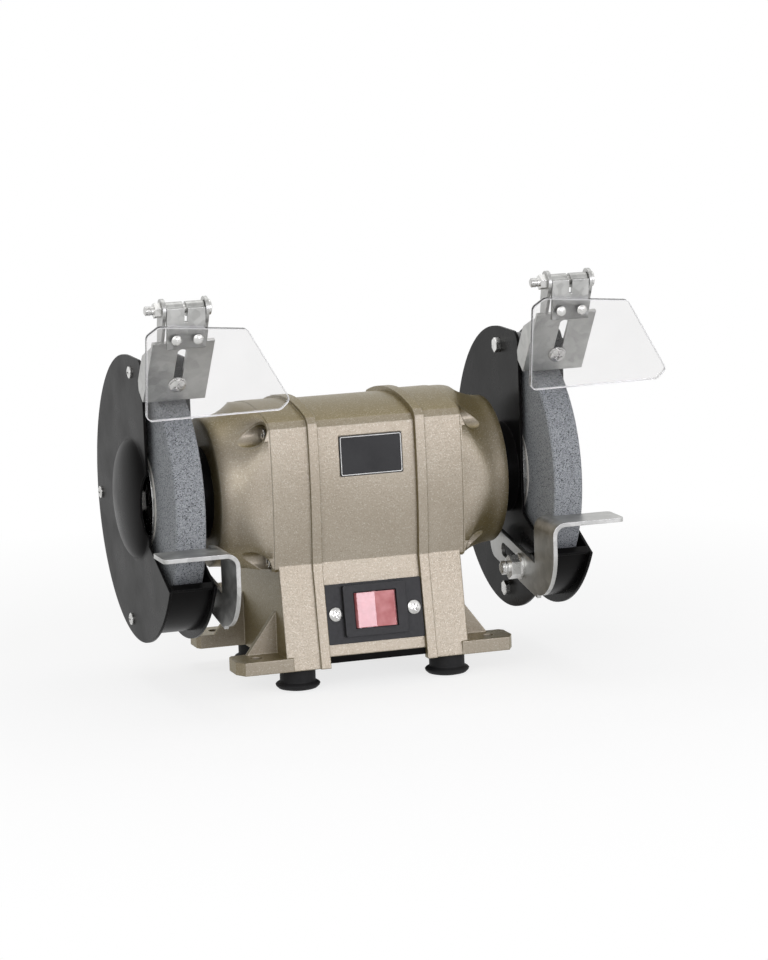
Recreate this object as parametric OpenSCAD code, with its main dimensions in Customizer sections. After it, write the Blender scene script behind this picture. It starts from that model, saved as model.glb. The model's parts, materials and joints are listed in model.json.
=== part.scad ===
// Double-ended bench grinder: a cast motor housing on a flared pedestal, two guarded grinding
// wheels, slotted tool rests and hinged eye shields. Millimetres. X runs along the spindle,
// -Y faces the operator, +Z is up and z = 0 is the bench top.

/* [Motor housing] */
// height of the spindle axis above the bench top
axis_h = 115.5; // [114:0.5:118]
// half depth of the housing band at its corners
body_half_depth = 46; // [45.5:0.25:47]
// height of the housing corners above the axis
body_up = 44.5; // [44:0.25:46]
// depth of the housing corners below the axis
body_down = 44; // [43.5:0.25:45]
// outward bow of the front and rear faces
face_bow = 2.5; // [1.5:0.25:4]
// rise of the arched top above its corners
top_arch = 8.2; // [6:0.2:10]
// rounding taken off the section's four corners
corner_cut = 1.5; // [0.5:0.25:2]
// how far the ribs stand proud of the band
rib_proud = 1.8; // [1:0.1:2.5]
// how far the centre panel lies below the band
panel_drop = 1; // [0.5:0.1:1.5]
// distance of the seams from the middle
seam_x = 30.5; // [30:0.25:32]
// width of a rib
rib_w = 6; // [4:0.5:8]
// distance of the band's outer edge from the middle
band_x = 59.5; // [59:0.25:61]
// height of the small step at the band's outer edge
band_step = 0.4; // [0.2:0.1:0.6]
// distance of the bell's end face from the middle
bell_x = 90; // [89:0.5:91]
// radius of the bell's round end
bell_r = 45; // [44:0.5:46]
// radius of the hollow curve from the square corners to the round end
flare_r = 34.4; // [32:0.2:36]
// thickness of the bell's end wall
end_wall = 4; // [3:0.5:5]
// outside radius of the bearing boss inside the bell
boss_r = 22; // [21:0.5:24]
// gap between the shaft and the hole in the end wall
shaft_hole_gap = 1.5; // [1:0.25:2]

/* [Housing screws] */
// distance of the corner screws from the axis, front to back
corner_screw_y = 39; // [38.5:0.25:39.5]
// distance of the corner screws from the axis, up and down
corner_screw_z = 38; // [37.5:0.25:38.5]
// radius of the hollow that each screw head sits in
pocket_r = 6.5; // [5:0.25:7]
// distance of the screw seats from the middle
seat_x = 58.5; // [57:0.5:59]
// thread radius of a housing screw
housing_screw_r = 2; // [1.75:0.25:2.25]
// length of a housing screw under its head
housing_screw_len = 40; // [36:1:44]
// head radius of a housing screw
housing_head_r = 3.6; // [3.2:0.2:4.2]
// head height of a housing screw
housing_head_h = 3.4; // [2.5:0.2:4]
// hexagon key size of a housing screw
housing_key = 3; // [2.5:0.25:3.5]

/* [Pedestal] */
// half width of the pedestal
pedestal_x = 57; // [56:0.5:58]
// height of the pedestal's underside above the bench top
base_z = 13; // [11:0.5:15]
// half depth of the pedestal at its underside
pedestal_y = 57.3; // [57:0.1:58]
// slope of the pedestal's front and rear faces
skirt_angle = 10; // [9.5:0.25:10.5]
// thickness of the cast walls
wall = 4; // [3:0.25:4.5]
// height of the chamber's ceiling above the bench top
chamber_top = 66; // [62:0.5:67]
// height of the centre panel's lower edge above the pedestal's underside
panel_lift = 6.3; // [5.5:0.1:7]
// distance of a bolting lug's outer end from the middle
lug_x = 87; // [85:0.5:88]
// distance of a bolting lug's inner edge from the axis
lug_in_y = 33; // [30:0.5:34]
// thickness of a bolting lug
lug_t = 8; // [6:0.5:10]
// cut across a lug's outer corner, along the lug
lug_cut_x = 4; // [2:0.5:6]
// cut across a lug's outer corner, across the lug
lug_cut_y = 7.5; // [4:0.5:9]
// distance of the bench bolt holes from the middle
bolt_x = 73; // [71:0.5:75]
// distance of the bench bolt holes from the axis
bolt_y = 46; // [44:0.5:47]
// bench bolt hole diameter
bolt_d = 7; // [6:0.5:8]
// thickness of a gusset
gusset_t = 3.5; // [2.5:0.25:5]
// reach of a gusset along its lug
gusset_l = 19; // [14:0.5:22]
// height of a gusset above its lug
gusset_h = 25.5; // [20:0.5:30]

/* [Feet and base cover] */
// distance of a foot from the middle
foot_x = 47.2; // [46:0.2:48]
// distance of a foot from the axis
foot_y = 44; // [43:0.25:45]
// diameter of a foot's neck
foot_neck_d = 21.5; // [18:0.5:22.5]
// diameter of a foot's flared rim
foot_d = 26.9; // [24:0.1:28]
// radius of the boss over each foot
foot_boss_r = 9; // [8.5:0.25:10]
// height of the boss over each foot
foot_boss_h = 16; // [12:0.5:20]
// thread radius of a foot screw
foot_screw_r = 2.5; // [2:0.25:3]
// depth of the recess for a foot screw's head
foot_recess = 6; // [5:0.25:7]
// thickness of the base cover
cover_plate_t = 4; // [3:0.25:5]
// distance of the base cover screws from the middle
base_screw_x = 23; // [21:0.5:24]
// distance of the base cover screws from the axis
base_screw_y = 46; // [45:0.25:47]
// thread radius of a base cover screw
base_screw_r = 2; // [1.5:0.25:2.25]
// radius of the posts that hold the base cover
post_r = 4.5; // [4:0.25:5]
// height of the posts that hold the base cover
post_h = 18; // [14:1:24]

/* [Switch and plates] */
// height of the switch plate's middle above the bench top
switch_z = 43.8; // [43:0.2:45]
// height of the switch plate along the slope
plate_h = 36; // [34:0.5:38]
// thickness of the switch plate
plate_t = 1.2; // [1:0.1:1.6]
// distance of the plate screws from the middle
plate_screw_x = 24.6; // [24.2:0.1:25.2]
// thread radius of a plate screw
plate_screw_r = 1.8; // [1.5:0.1:2]
// head radius of a plate screw
plate_head_r = 4.2; // [3.5:0.1:4.3]
// width of the switch bezel
bezel_w = 39.4; // [36:0.2:40]
// height of the switch bezel
bezel_h = 31; // [28:0.5:33]
// how far the bezel stands proud of its plate
bezel_t = 3; // [2:0.25:4]
// height of the switch above the middle of its plate
bezel_up = 1.2; // [0:0.1:1.8]
// depth of the switch body behind the plate
switch_depth = 15; // [13:0.5:18]
// end radius of the rocker about its pivot
rocker_r = 13; // [12:0.25:13.5]
// length of the rocker along its pivot
rocker_len = 21; // [18:0.5:22]
// depth of the pivot behind the bezel's face
pivot_depth = 3; // [2.5:0.25:3.5]
// radius of the pivot pins
pivot_r = 1.5; // [1.2:0.1:1.8]
// swing of the rocker to each side
rocker_tilt = 8; // [6:0.5:9]
// width of the nameplate
name_w = 39; // [34:0.5:42]
// height of the nameplate
name_h = 24; // [20:0.5:26]
// sideways place of the nameplate
name_x = 2.7; // [-4:0.1:4]
// height of the nameplate above the axis
name_up = 22.5; // [18:0.5:26]
// thickness of the nameplate
name_t = 1; // [0.8:0.1:1.4]

/* [Motor and bearings] */
// outside radius of the stator
stator_r = 42; // [41:0.25:42]
// half length of the stator core
stator_half = 22; // [20:0.5:24]
// length of each winding head
winding_len = 14; // [10:0.5:18]
// outside radius of the rotor core
rotor_r = 25; // [23:0.5:27]
// gap between rotor and stator
air_gap = 0.4; // [0.3:0.05:0.6]
// radius of the shaft inside the rotor
shaft_core_r = 12; // [10:0.5:13]
// bearing bore diameter
bearing_bore = 15; // [15:1:15]
// bearing outside diameter
bearing_od = 35; // [35:1:35]
// bearing width
bearing_w = 11; // [11:1:11]
// distance of a bearing's middle from the middle of the machine
bearing_x = 77.5; // [76.5:0.25:78]
// number of balls in a bearing
ball_n = 8; // [7:1:9]
// length of the capacitor
cap_len = 44; // [38:1:48]
// radius of the capacitor
cap_r = 14; // [12:0.5:15]
// bore radius of the cable gland
gland_bore_r = 3.6; // [3:0.1:4]
// body radius of the cable gland
gland_r = 6; // [5.5:0.25:7]
// height of the cable gland above the bench top
gland_z = 40; // [36:0.5:46]

/* [Wheels and flanges] */
// wheel diameter
wheel_d = 150; // [148:0.5:150]
// wheel width
wheel_w = 18; // [16:0.5:18.5]
// distance of a wheel's middle from the middle of the machine
wheel_x = 117.3; // [117:0.1:117.6]
// wheel bore diameter
wheel_bore = 12.7; // [12.7:0.1:12.7]
// thickness of a paper blotter
blotter_t = 0.6; // [0.4:0.1:0.8]
// radius of a paper blotter
blotter_r = 31; // [30.5:0.5:33]
// radius of the wheel flanges
flange_r = 30; // [28:0.5:30.5]
// thickness of the inner flange
inner_flange_t = 2.5; // [2:0.25:3]
// thickness of the outer flange
outer_flange_t = 3.2; // [2.5:0.1:3.2]
// radius of the inner flange's hub
flange_hub_r = 10; // [9:0.5:11]
// distance of the shaft's shoulder from the middle
shoulder_x = 97; // [96:0.5:98]
// width across the flats of a spindle nut
nut_af = 19; // [17:0.5:19]
// height of a spindle nut
nut_h = 7; // [6:0.25:7]
// shaft left showing past a spindle nut
shaft_tip = 0.9; // [0.5:0.1:1]

/* [Guards] */
// radius of a guard's side plates
guard_r = 86.5; // [85:0.25:88]
// distance between a guard's outer faces
guard_w = 28.8; // [28.8:0.1:30]
// thickness of the guard sheet
sheet_t = 1.6; // [1.5:0.05:1.7]
// inside radius of the guard's rim
rim_r = 80; // [79:0.25:81]
// thickness of the guard's rim
rim_t = 1.5; // [1.2:0.1:2]
// gap between the inner flange and the guard's back
back_gap = 0.4; // [0.3:0.05:0.5]
// distance of the mouth's upright edge from the axis
mouth_y = 31; // [30:0.5:33]
// drop of the mouth's inner corner below the axis
mouth_drop = 24; // [22:0.5:26]
// distance of the mouth's lower lip from the axis
lip_y = 70; // [68:0.5:71]
// drop of the mouth's lower lip below the axis
lip_drop = 42.5; // [41:0.5:44]
// rounding of the guard's squared top corner
top_round = 8; // [4:0.5:12]
// angle of the rim's upper end, forward from straight up
rim_top_angle = 36; // [35:0.5:37]
// angle of the rim's lower end, forward from straight up
rim_low_angle = 121; // [120:0.5:122]
// radius of the collar between bell and guard
collar_r = 28; // [26:0.5:30]
// bore radius of the collar
collar_bore_r = 13; // [12.5:0.25:13.5]
// distance of the collar's screws from the axis
collar_screw_r = 18.5; // [18:0.25:19.5]
// thread radius of a collar screw
collar_thread_r = 2; // [1.75:0.25:2.25]
// length of a collar screw under its head
collar_screw_len = 14; // [13:0.25:14]
// base radius of the cover's hub dome
dome_r = 50; // [48:0.5:52]
// height of the cover's hub dome
dome_h = 9; // [8.6:0.1:11]
// rounding of the hub dome's edge
dome_round = 7; // [5:0.5:8]
// distance of the dome's front cut from the axis
dome_cut_y = 42; // [38:0.5:44]
// distance of the cover screws from the axis
cover_screw_r = 77.3; // [76.9:0.1:77.4]
// thread radius of a cover screw
cover_thread_r = 1.5; // [1.3:0.1:1.6]
// thickness of the rim's screw tabs
tab_t = 3.4; // [3:0.1:3.5]

/* [Tool rests] */
// height of the rest's top face below the axis
rest_drop = 19.5; // [17:0.5:22]
// thickness of the rest's plate
rest_t = 2.5; // [2:0.1:2.8]
// distance of the rest's front edge from the axis
rest_front_y = 102; // [100:0.5:106]
// gap between the wheel's widest point and the rest's table
rest_gap = 2; // [1.5:0.25:4]
// distance of the rest's outer end from the middle
rest_out_x = 142; // [138:0.5:146]
// outside radius of the rest's bend
rest_bend_r = 8; // [6:0.5:9]
// radius of the arm's lower front corner
arm_round = 30; // [26:0.5:31]
// width of the slotted leg
leg_w = 20; // [18:0.5:22]
// slope of the slotted leg, rising to the rear
leg_angle = 10; // [8:0.5:12]
// distance of the clamp bolt from the axis, forward
clamp_y = 44; // [43:0.5:46]
// drop of the clamp bolt below the axis
clamp_drop = 54.5; // [53:0.5:56]
// radius of the clamp bolt
clamp_bolt_r = 4; // [3.5:0.25:4]
// side gap of the bolt in the slot
slot_gap = 0.2; // [0.1:0.05:0.4]
// travel of the rest outward from where it stands
rest_out_travel = 30; // [24:0.5:32]
// travel of the rest inward from where it stands
rest_in_travel = 1.2; // [0.8:0.1:1.5]

/* [Eye shields] */
// half width of a shield bracket
bracket_half_w = 18.7; // [18.2:0.1:20]
// thickness of the bracket sheet
bracket_t = 2; // [1.6:0.1:2.2]
// radius at which the bracket's web starts
web_r0 = 82; // [81.5:0.25:84]
// radius at which the bracket's web ends
web_r1 = 128; // [126:0.5:130]
// depth of the bracket's side flanges
flange_depth = 14; // [10:0.5:15]
// radius at which the rim's tab ends
rim_tab_r = 104; // [102:0.5:108]
// radius at which the shield clamp screw sits
shield_screw_r = 95.4; // [94.5:0.1:97]
// thread radius of the shield clamp screw
shield_thread_r = 2.5; // [2:0.1:2.7]
// travel of the bracket toward the wheel
bracket_travel = 4.5; // [3:0.25:5]
// spare travel of the bracket away from the wheel
bracket_spare = 0.6; // [0.4:0.1:1]
// forward place of the hinge from the axis
hinge_y = 80; // [79:0.25:81]
// height of the hinge above the axis
hinge_up = 122; // [120:0.5:124]
// radius of the hinge ears
ear_r = 6.5; // [6:0.25:6.8]
// distance of a hinge ear's inner face from the bracket's middle
ear_x = 11.9; // [11.5:0.1:12.5]
// radius of the hinge bolt
hinge_r = 2.5; // [2:0.1:2.8]
// outside radius of the hinge knuckles
knuckle_r = 4.3; // [4.1:0.1:4.6]
// backward tilt of the shield
shield_tilt = 10.6; // [9:0.2:12]
// thickness of the shield
shield_t = 3; // [2:0.25:3.5]
// distance from the hinge's centre to the shield's rear face
shield_off = 6.2; // [6:0.1:6.8]
// rounding of the shield's corners
shield_round = 4; // [2:0.5:6]
// length of the strap's leaf below the hinge
leaf_len = 22; // [19:0.5:24]
// rivet radius
rivet_r = 1.6; // [1.2:0.1:2]
// distance of a rivet from the middle of the strap
rivet_x = 6.5; // [5:0.25:7.5]
// drop of the rivets below the hinge
rivet_drop = 16; // [15:0.5:17]

/* [Clearances] */
// radial gap of a turning or sliding pin in its hole
running_gap = 0.06; // [0.03:0.01:0.1]
// radial gap of a pressed or threaded piece in its hole
seat_gap = 0.02; // [0.01:0.01:0.05]
// radial gap of a screw in a plain hole
screw_gap = 0.25; // [0.15:0.05:0.4]
// gap beside sliding and swinging sheet pieces
slide_gap = 0.05; // [0.03:0.01:0.1]
// gap round a piece let into a recess
inlay_gap = 0.2; // [0.1:0.05:0.3]

/* [Hidden] */
$fn = 96;
champagne = [0.74, 0.70, 0.60];
black = [0.08, 0.08, 0.085];
rubber = [0.05, 0.05, 0.05];
zinc = [0.72, 0.73, 0.74];
steel = [0.60, 0.61, 0.63];
stone = [0.46, 0.48, 0.49];
copper = [0.66, 0.38, 0.20];
paper = [0.25, 0.36, 0.52];
red = [0.85, 0.16, 0.15];
clear = [0.86, 0.92, 0.93, 0.35];

wheel_r = wheel_d / 2;
wheel_in = wheel_x - wheel_w / 2;
wheel_out = wheel_x + wheel_w / 2;
flange_in = wheel_in - blotter_t - inner_flange_t;
flange_out = wheel_out + blotter_t + outer_flange_t;
nut_out = flange_out + nut_h;
shaft_end = nut_out + shaft_tip;
tip_r = wheel_bore / 2 - 0.05;
journal_r = bearing_bore / 2;
guard_in = flange_in - back_gap - sheet_t;
guard_out = guard_in + guard_w;
guard_c = (guard_in + guard_out) / 2 + 0.4;
cover_in = guard_out - sheet_t;
back_out = guard_in + sheet_t;
skirt_slope = tan(skirt_angle);
skirt_top = axis_h - body_down + 5;
panel_z = base_z + panel_lift;
cover_top = panel_z - 0.1;
bearing_in = bearing_x - bearing_w / 2;
bearing_out = bearing_x + bearing_w / 2;
flare_c = bell_r + flare_r;
rest_z = axis_h - rest_drop;
table_y = wheel_r + rest_gap;
clamp_z = axis_h - clamp_drop;
arm_in = guard_in - 6.7;
arm_out = arm_in + rest_t;
hinge_z = axis_h + hinge_up;
slot_r = clamp_bolt_r + slot_gap;
panel_half = body_half_depth - panel_drop;
round_steps = 6;

// Half depth of the pedestal at height z.
function skirt_y(z) = pedestal_y - (z - base_z) * skirt_slope;

// Turns a flat shape's X and Y into Y and Z, and its thickness into X.
module along_x() {
    rotate([90, 0, 90]) children();
}

// Revolves a profile (radius, distance along X) about the spindle.
module about_spindle() {
    translate([0, 0, axis_h]) rotate([0, 90, 0]) rotate_extrude() children();
}

// A round bar along X from x0 to x1 at (y, z).
module bar_x(r, x0, x1, y, z) {
    translate([x0, y, z]) rotate([0, 90, 0]) cylinder(r = r, h = x1 - x0);
}

// The same piece on both ends of the machine.
module both_ends() {
    children();
    mirror([1, 0, 0]) children();
}

// A rectangle with rounded corners, centred.
module round_rect(w, h, r) {
    square([w - 2 * r, h], center = true);
    square([w, h - 2 * r], center = true);
    for (sx = [-1, 1]) {
        for (sy = [-1, 1]) {
            translate([sx * (w / 2 - r), sy * (h / 2 - r)]) circle(r = r);
        }
    }
}

// A convex outline, listed counter-clockwise, with each corner turned in round_steps steps of radius r.
function unit(v) = v / norm(v);
function outward(a, b) = [unit(b - a)[1], -unit(b - a)[0]];
function round_corner(p, i, r) =
    let (n = len(p))
    let (n1 = outward(p[(i + n - 1) % n], p[i]))
    let (n2 = outward(p[i], p[(i + 1) % n]))
    let (c = p[i] - (n1 + n2) * r / (1 + n1 * n2))
    let (start = atan2(n1[1], n1[0]))
    let (turn = acos(n1 * n2))
    [for (k = [0 : round_steps])
        let (a = start + turn * k / round_steps)
        c + r * [cos(a), sin(a)]];
module rounded(p, r) {
    polygon([for (i = [0 : len(p) - 1]) for (q = round_corner(p, i, r)) q]);
}

// Pan head with a cross recess, its shank pointing down from z = 0.
module cross_screw(shank_r, shank_len, head_r, head_h) {
    difference() {
        union() {
            translate([0, 0, -shank_len]) cylinder(r = shank_r, h = shank_len);
            intersection() {
                cylinder(r = head_r, h = head_h);
                translate([0, 0, head_h - 2 * head_r]) sphere(r = 2 * head_r);
            }
        }
        for (a = [0, 90]) {
            rotate([0, 0, a]) {
                translate([-head_r * 0.55, -head_r * 0.13, head_h * 0.35])
                    cube([head_r * 1.1, head_r * 0.26, head_h]);
            }
        }
    }
}

// Hexagonal prism of the given width across flats.
module hex(af, h) {
    linear_extrude(height = h) circle(r = af / 2 / cos(30), $fn = 6);
}

// Housing section in Y and Z about the axis: bowed front and rear, arched top, flat underside.
module body_section(half, up, down) {
    tall = up + down;
    bow_r = (tall * tall / 4 + face_bow * face_bow) / (2 * face_bow);
    arch_r = (half * half + top_arch * top_arch) / (2 * top_arch);
    intersection() {
        translate([bow_r - half - face_bow, (up - down) / 2]) circle(r = bow_r);
        translate([half + face_bow - bow_r, (up - down) / 2]) circle(r = bow_r);
        translate([0, up + top_arch - arch_r]) circle(r = arch_r);
        translate([-half - 10, -down]) square([2 * half + 20, tall + top_arch + 10]);
        circle(r = norm([half, up]) - corner_cut);
    }
}

// Pedestal section in Y and Z, moved out by off, from z0 up to z1.
module skirt(off, z0, z1) {
    polygon([
        [-skirt_y(z0) - off, z0], [skirt_y(z0) + off, z0],
        [skirt_y(z1) + off, z1], [-skirt_y(z1) - off, z1]
    ]);
}

// Places a piece on the centre panel's sloping front: -Y outward, Z up the slope.
module on_front() {
    translate([0, -(skirt_y(switch_z) - panel_drop), switch_z])
        rotate([-skirt_angle, 0, 0]) children();
}

// Places a piece on the centre panel's sloping rear, Z pointing outward.
module on_rear() {
    translate([0, skirt_y(gland_z) - panel_drop, gland_z])
        rotate([skirt_angle - 90, 0, 0]) children();
}

// Places the nameplate on the bowed front: -Y outward.
module on_name() {
    half = (body_up - panel_drop + body_down) / 2;
    bow_r = (half * half + face_bow * face_bow) / (2 * face_bow);
    dz = name_up - (body_up - panel_drop - body_down) / 2;
    a = asin(dz / bow_r);
    translate([name_x, -(panel_half + face_bow - bow_r + bow_r * cos(a)), axis_h + name_up])
        rotate([-a, 0, 0]) children();
}

module at_corner_screws() {
    for (sy = [-1, 1]) {
        for (sz = [-1, 1]) {
            translate([seat_x, sy * corner_screw_y, axis_h + sz * corner_screw_z])
                rotate([0, 90, 0]) children();
        }
    }
}

module at_base_screws() {
    for (sx = [-1, 1]) {
        for (sy = [-1, 1]) {
            translate([sx * base_screw_x, sy * base_screw_y, 0]) children();
        }
    }
}

module centre_housing() {
    color(champagne) difference() {
        union() {
            translate([-seam_x, 0, 0]) along_x() linear_extrude(height = 2 * seam_x) difference() {
                union() {
                    translate([0, axis_h])
                        body_section(panel_half, body_up - panel_drop, body_down);
                    skirt(-panel_drop, panel_z, skirt_top);
                }
                translate([0, axis_h]) circle(r = stator_r);
                skirt(-panel_drop - wall, panel_z - 1, chamber_top);
            }
            intersection() {
                at_base_screws() translate([0, 0, panel_z]) cylinder(r = post_r, h = post_h);
                translate([-seam_x, 0, 0]) along_x() linear_extrude(height = 2 * seam_x)
                    skirt(-panel_drop - 0.5, panel_z, skirt_top);
            }
        }
        at_base_screws()
            translate([0, 0, panel_z - 1]) cylinder(r = base_screw_r + seat_gap, h = post_h - 2);
        both_ends() at_corner_screws()
            translate([0, 0, -housing_screw_len - 2])
                cylinder(r = housing_screw_r + seat_gap, h = housing_screw_len + 2);
        on_front() {
            translate([-(bezel_w - 6) / 2, -1, bezel_up - (bezel_h - 4) / 2])
                cube([bezel_w - 6, 12, bezel_h - 4]);
            for (sx = [-1, 1]) {
                translate([sx * plate_screw_x, 8, 0]) rotate([90, 0, 0])
                    cylinder(r = plate_screw_r + seat_gap, h = 12);
            }
        }
        on_name() translate([-name_w / 2 - inlay_gap, -name_t, -name_h / 2 - inlay_gap])
            cube([name_w + 2 * inlay_gap, name_t * 1.5, name_h + 2 * inlay_gap]);
        on_rear() translate([0, 0, -wall - 3]) cylinder(r = gland_r + seat_gap, h = wall + 6);
        translate([-(stator_half + seam_x) / 2, 0, chamber_top - 5]) cylinder(r = 3.5, h = 20);
    }
}

module lug(sy) {
    mirror([0, sy > 0 ? 0 : 1, 0]) translate([0, 0, base_z]) linear_extrude(height = lug_t) difference() {
        polygon([
            [pedestal_x - wall, lug_in_y], [lug_x - 2, lug_in_y], [lug_x, lug_in_y + 3],
            [lug_x, pedestal_y + 0.2 - lug_cut_y], [lug_x - lug_cut_x, pedestal_y + 0.2],
            [pedestal_x - wall, pedestal_y + 0.2]
        ]);
        translate([bolt_x, bolt_y]) circle(d = bolt_d);
    }
}

module gusset(sy) {
    translate([0, sy * (lug_in_y + gusset_t / 2) + gusset_t / 2, 0])
        rotate([90, 0, 0]) linear_extrude(height = gusset_t) polygon([
            [pedestal_x - 1, base_z + lug_t - 1], [pedestal_x + gusset_l, base_z + lug_t - 1],
            [pedestal_x + gusset_l, base_z + lug_t], [pedestal_x, base_z + lug_t + gusset_h],
            [pedestal_x - 1, base_z + lug_t + gusset_h]
        ]);
}

module end_housing() {
    color(champagne) difference() {
        union() {
            translate([seam_x, 0, 0]) along_x() linear_extrude(height = rib_w) union() {
                translate([0, axis_h])
                    body_section(body_half_depth + rib_proud, body_up + rib_proud, body_down);
                skirt(rib_proud, base_z, skirt_top);
            }
            translate([seam_x, 0, 0]) along_x() linear_extrude(height = band_x - seam_x)
                translate([0, axis_h]) body_section(body_half_depth, body_up, body_down);
            intersection() {
                translate([seam_x, 0, 0]) along_x() linear_extrude(height = bell_x - seam_x)
                    translate([0, axis_h]) body_section(
                        body_half_depth - band_step, body_up - band_step, body_down - band_step);
                about_spindle() difference() {
                    translate([0, seam_x]) square([flare_c - 0.4, bell_x - seam_x]);
                    translate([flare_c, bell_x]) circle(r = flare_r);
                }
            }
            difference() {
                translate([seam_x, 0, 0]) along_x() linear_extrude(height = pedestal_x - seam_x)
                    skirt(0, base_z, skirt_top);
                translate([seam_x - 1, 0, 0]) along_x()
                    linear_extrude(height = pedestal_x - wall - seam_x + 1)
                        skirt(-wall, base_z - 1, chamber_top);
            }
            for (sy = [-1, 1]) {
                lug(sy);
                gusset(sy);
                intersection() {
                    translate([foot_x, sy * foot_y, base_z])
                        cylinder(r = foot_boss_r, h = foot_boss_h);
                    translate([seam_x, 0, 0]) along_x() linear_extrude(height = pedestal_x - seam_x)
                        skirt(-0.5, base_z, skirt_top);
                }
            }
        }
        translate([seam_x - 1, 0, 0]) along_x() linear_extrude(height = rib_w + 1)
            skirt(-wall, base_z - 1, chamber_top);
        about_spindle() polygon([
            [0, seam_x - 1], [stator_r, seam_x - 1], [stator_r, 64], [stator_r - 1, 66],
            [stator_r - 1, bell_x - end_wall], [boss_r, bell_x - end_wall],
            [boss_r, bearing_in - 2], [bearing_od / 2 + seat_gap, bearing_in - 2],
            [bearing_od / 2 + seat_gap, bearing_out], [journal_r + shaft_hole_gap, bearing_out],
            [journal_r + shaft_hole_gap, bell_x + 1], [0, bell_x + 1]
        ]);
        at_corner_screws() {
            cylinder(r = pocket_r, h = bell_x);
            translate([0, 0, seam_x - seat_x - 1])
                cylinder(r = housing_screw_r + screw_gap, h = seat_x);
        }
        for (a = [90, 210, 330]) {
            translate([0, 0, axis_h]) rotate([a, 0, 0])
                bar_x(collar_thread_r + seat_gap, bell_x - 6.5, bell_x + 1, collar_screw_r, 0);
        }
        for (sy = [-1, 1]) {
            translate([foot_x, sy * foot_y, base_z - 1])
                cylinder(r = foot_screw_r + seat_gap, h = foot_boss_h - 1);
        }
    }
}

module left_end_housing() {
    mirror([1, 0, 0]) end_housing();
}

module right_end_housing() {
    end_housing();
}

module housing_screws() {
    color(zinc) both_ends() at_corner_screws() difference() {
        union() {
            translate([0, 0, -housing_screw_len])
                cylinder(r = housing_screw_r, h = housing_screw_len + 1);
            cylinder(r = housing_head_r, h = housing_head_h);
        }
        translate([0, 0, housing_head_h - 2]) hex(housing_key, 3);
    }
}

module base_cover() {
    inner_y = skirt_y(panel_z) - wall - 0.6;
    color(black) difference() {
        translate([0, 0, cover_top - cover_plate_t]) linear_extrude(height = cover_plate_t)
            difference() {
                union() {
                    square([2 * (seam_x - inlay_gap), 2 * (skirt_y(panel_z) - panel_drop - 0.3)],
                        center = true);
                    square([2 * (pedestal_x - wall - 0.5), 2 * inner_y], center = true);
                }
                for (sx = [-1, 1]) {
                    for (sy = [-1, 1]) {
                        translate([sx * foot_x, sy * foot_y]) circle(r = foot_boss_r + 0.4);
                        translate([sx * (foot_x + 6), sy * (foot_y - foot_boss_r - 0.4)])
                            square([14, 0.1], center = true);
                    }
                }
            }
        at_base_screws() cylinder(r = base_screw_r + screw_gap, h = axis_h);
    }
}

module base_screws() {
    color(zinc) at_base_screws() translate([0, 0, cover_top - cover_plate_t])
        rotate([180, 0, 0]) cross_screw(base_screw_r, cover_plate_t + post_h - 6, 3.8, 2);
}

module at_feet() {
    for (sx = [-1, 1]) {
        for (sy = [-1, 1]) {
            translate([sx * foot_x, sy * foot_y, 0]) children();
        }
    }
}

module rubber_feet() {
    neck = foot_neck_d / 2;
    rim = foot_d / 2;
    color(rubber) at_feet() difference() {
        rotate_extrude() polygon([
            [0, 0], [rim - 4.5, 0], [rim - 1.8, 0.7], [rim - 0.4, 2], [rim, 3.1],
            [rim - 0.6, 3.8], [neck + 0.3, 4.9], [neck, 5.6], [neck, base_z], [0, base_z]
        ]);
        translate([0, 0, -1]) cylinder(r = 5.2, h = foot_recess + 1);
        cylinder(r = foot_screw_r + screw_gap, h = base_z + 1);
    }
}

module foot_screws() {
    color(zinc) at_feet() translate([0, 0, foot_recess]) rotate([180, 0, 0])
        cross_screw(foot_screw_r, base_z - foot_recess + foot_boss_h - 4, 4.6, 2.6);
}

module nameplate() {
    color(black) on_name()
        translate([0, name_t / 2, 0]) rotate([90, 0, 0]) linear_extrude(height = name_t)
            round_rect(name_w, name_h, 0.8);
}

module switch_plate() {
    color(black) on_front() difference() {
        translate([0, 0, 0]) rotate([90, 0, 0]) linear_extrude(height = plate_t)
            round_rect(2 * (seam_x - inlay_gap), plate_h, 1);
        translate([-(bezel_w - 6) / 2, -5, bezel_up - (bezel_h - 4) / 2])
            cube([bezel_w - 6, 12, bezel_h - 4]);
        for (sx = [-1, 1]) {
            translate([sx * plate_screw_x, 1, 0]) rotate([90, 0, 0])
                cylinder(r = plate_screw_r + screw_gap, h = 5);
        }
    }
}

module switch_screws() {
    color(zinc) on_front() for (sx = [-1, 1]) {
        translate([sx * plate_screw_x, -plate_t, 0]) rotate([90, 0, 0])
            rotate([0, 0, 20]) cross_screw(plate_screw_r, plate_t + 5, plate_head_r, 2.2);
    }
}

// The rocker's pivot: Z along the pivot, -Y out of the panel.
module at_pivot() {
    on_front() translate([0, pivot_depth - plate_t - bezel_t, bezel_up]) children();
}

module switch_bezel() {
    well_w = 2 * (rocker_r + 0.4);
    well_h = rocker_len + 0.8;
    color(black) difference() {
        on_front() union() {
            translate([0, -plate_t, bezel_up]) rotate([90, 0, 0]) linear_extrude(height = bezel_t)
                round_rect(bezel_w, bezel_h, 1.5);
            translate([-(bezel_w - 6.4) / 2, -plate_t - 1, bezel_up - (bezel_h - 4.4) / 2])
                cube([bezel_w - 6.4, switch_depth + 1, bezel_h - 4.4]);
            for (sx = [-1, 1]) {
                translate([sx * 8 - 3, switch_depth - 2, bezel_up - 0.5]) cube([6, 8, 1]);
            }
        }
        at_pivot() {
            translate([-well_w / 2, -20, -well_h / 2])
                cube([well_w, 20 + rocker_r * 0.45 + 0.6, well_h]);
            translate([0, 0, -well_h / 2 - 1.6])
                cylinder(r = pivot_r + running_gap, h = well_h + 3.2);
        }
    }
}

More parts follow.
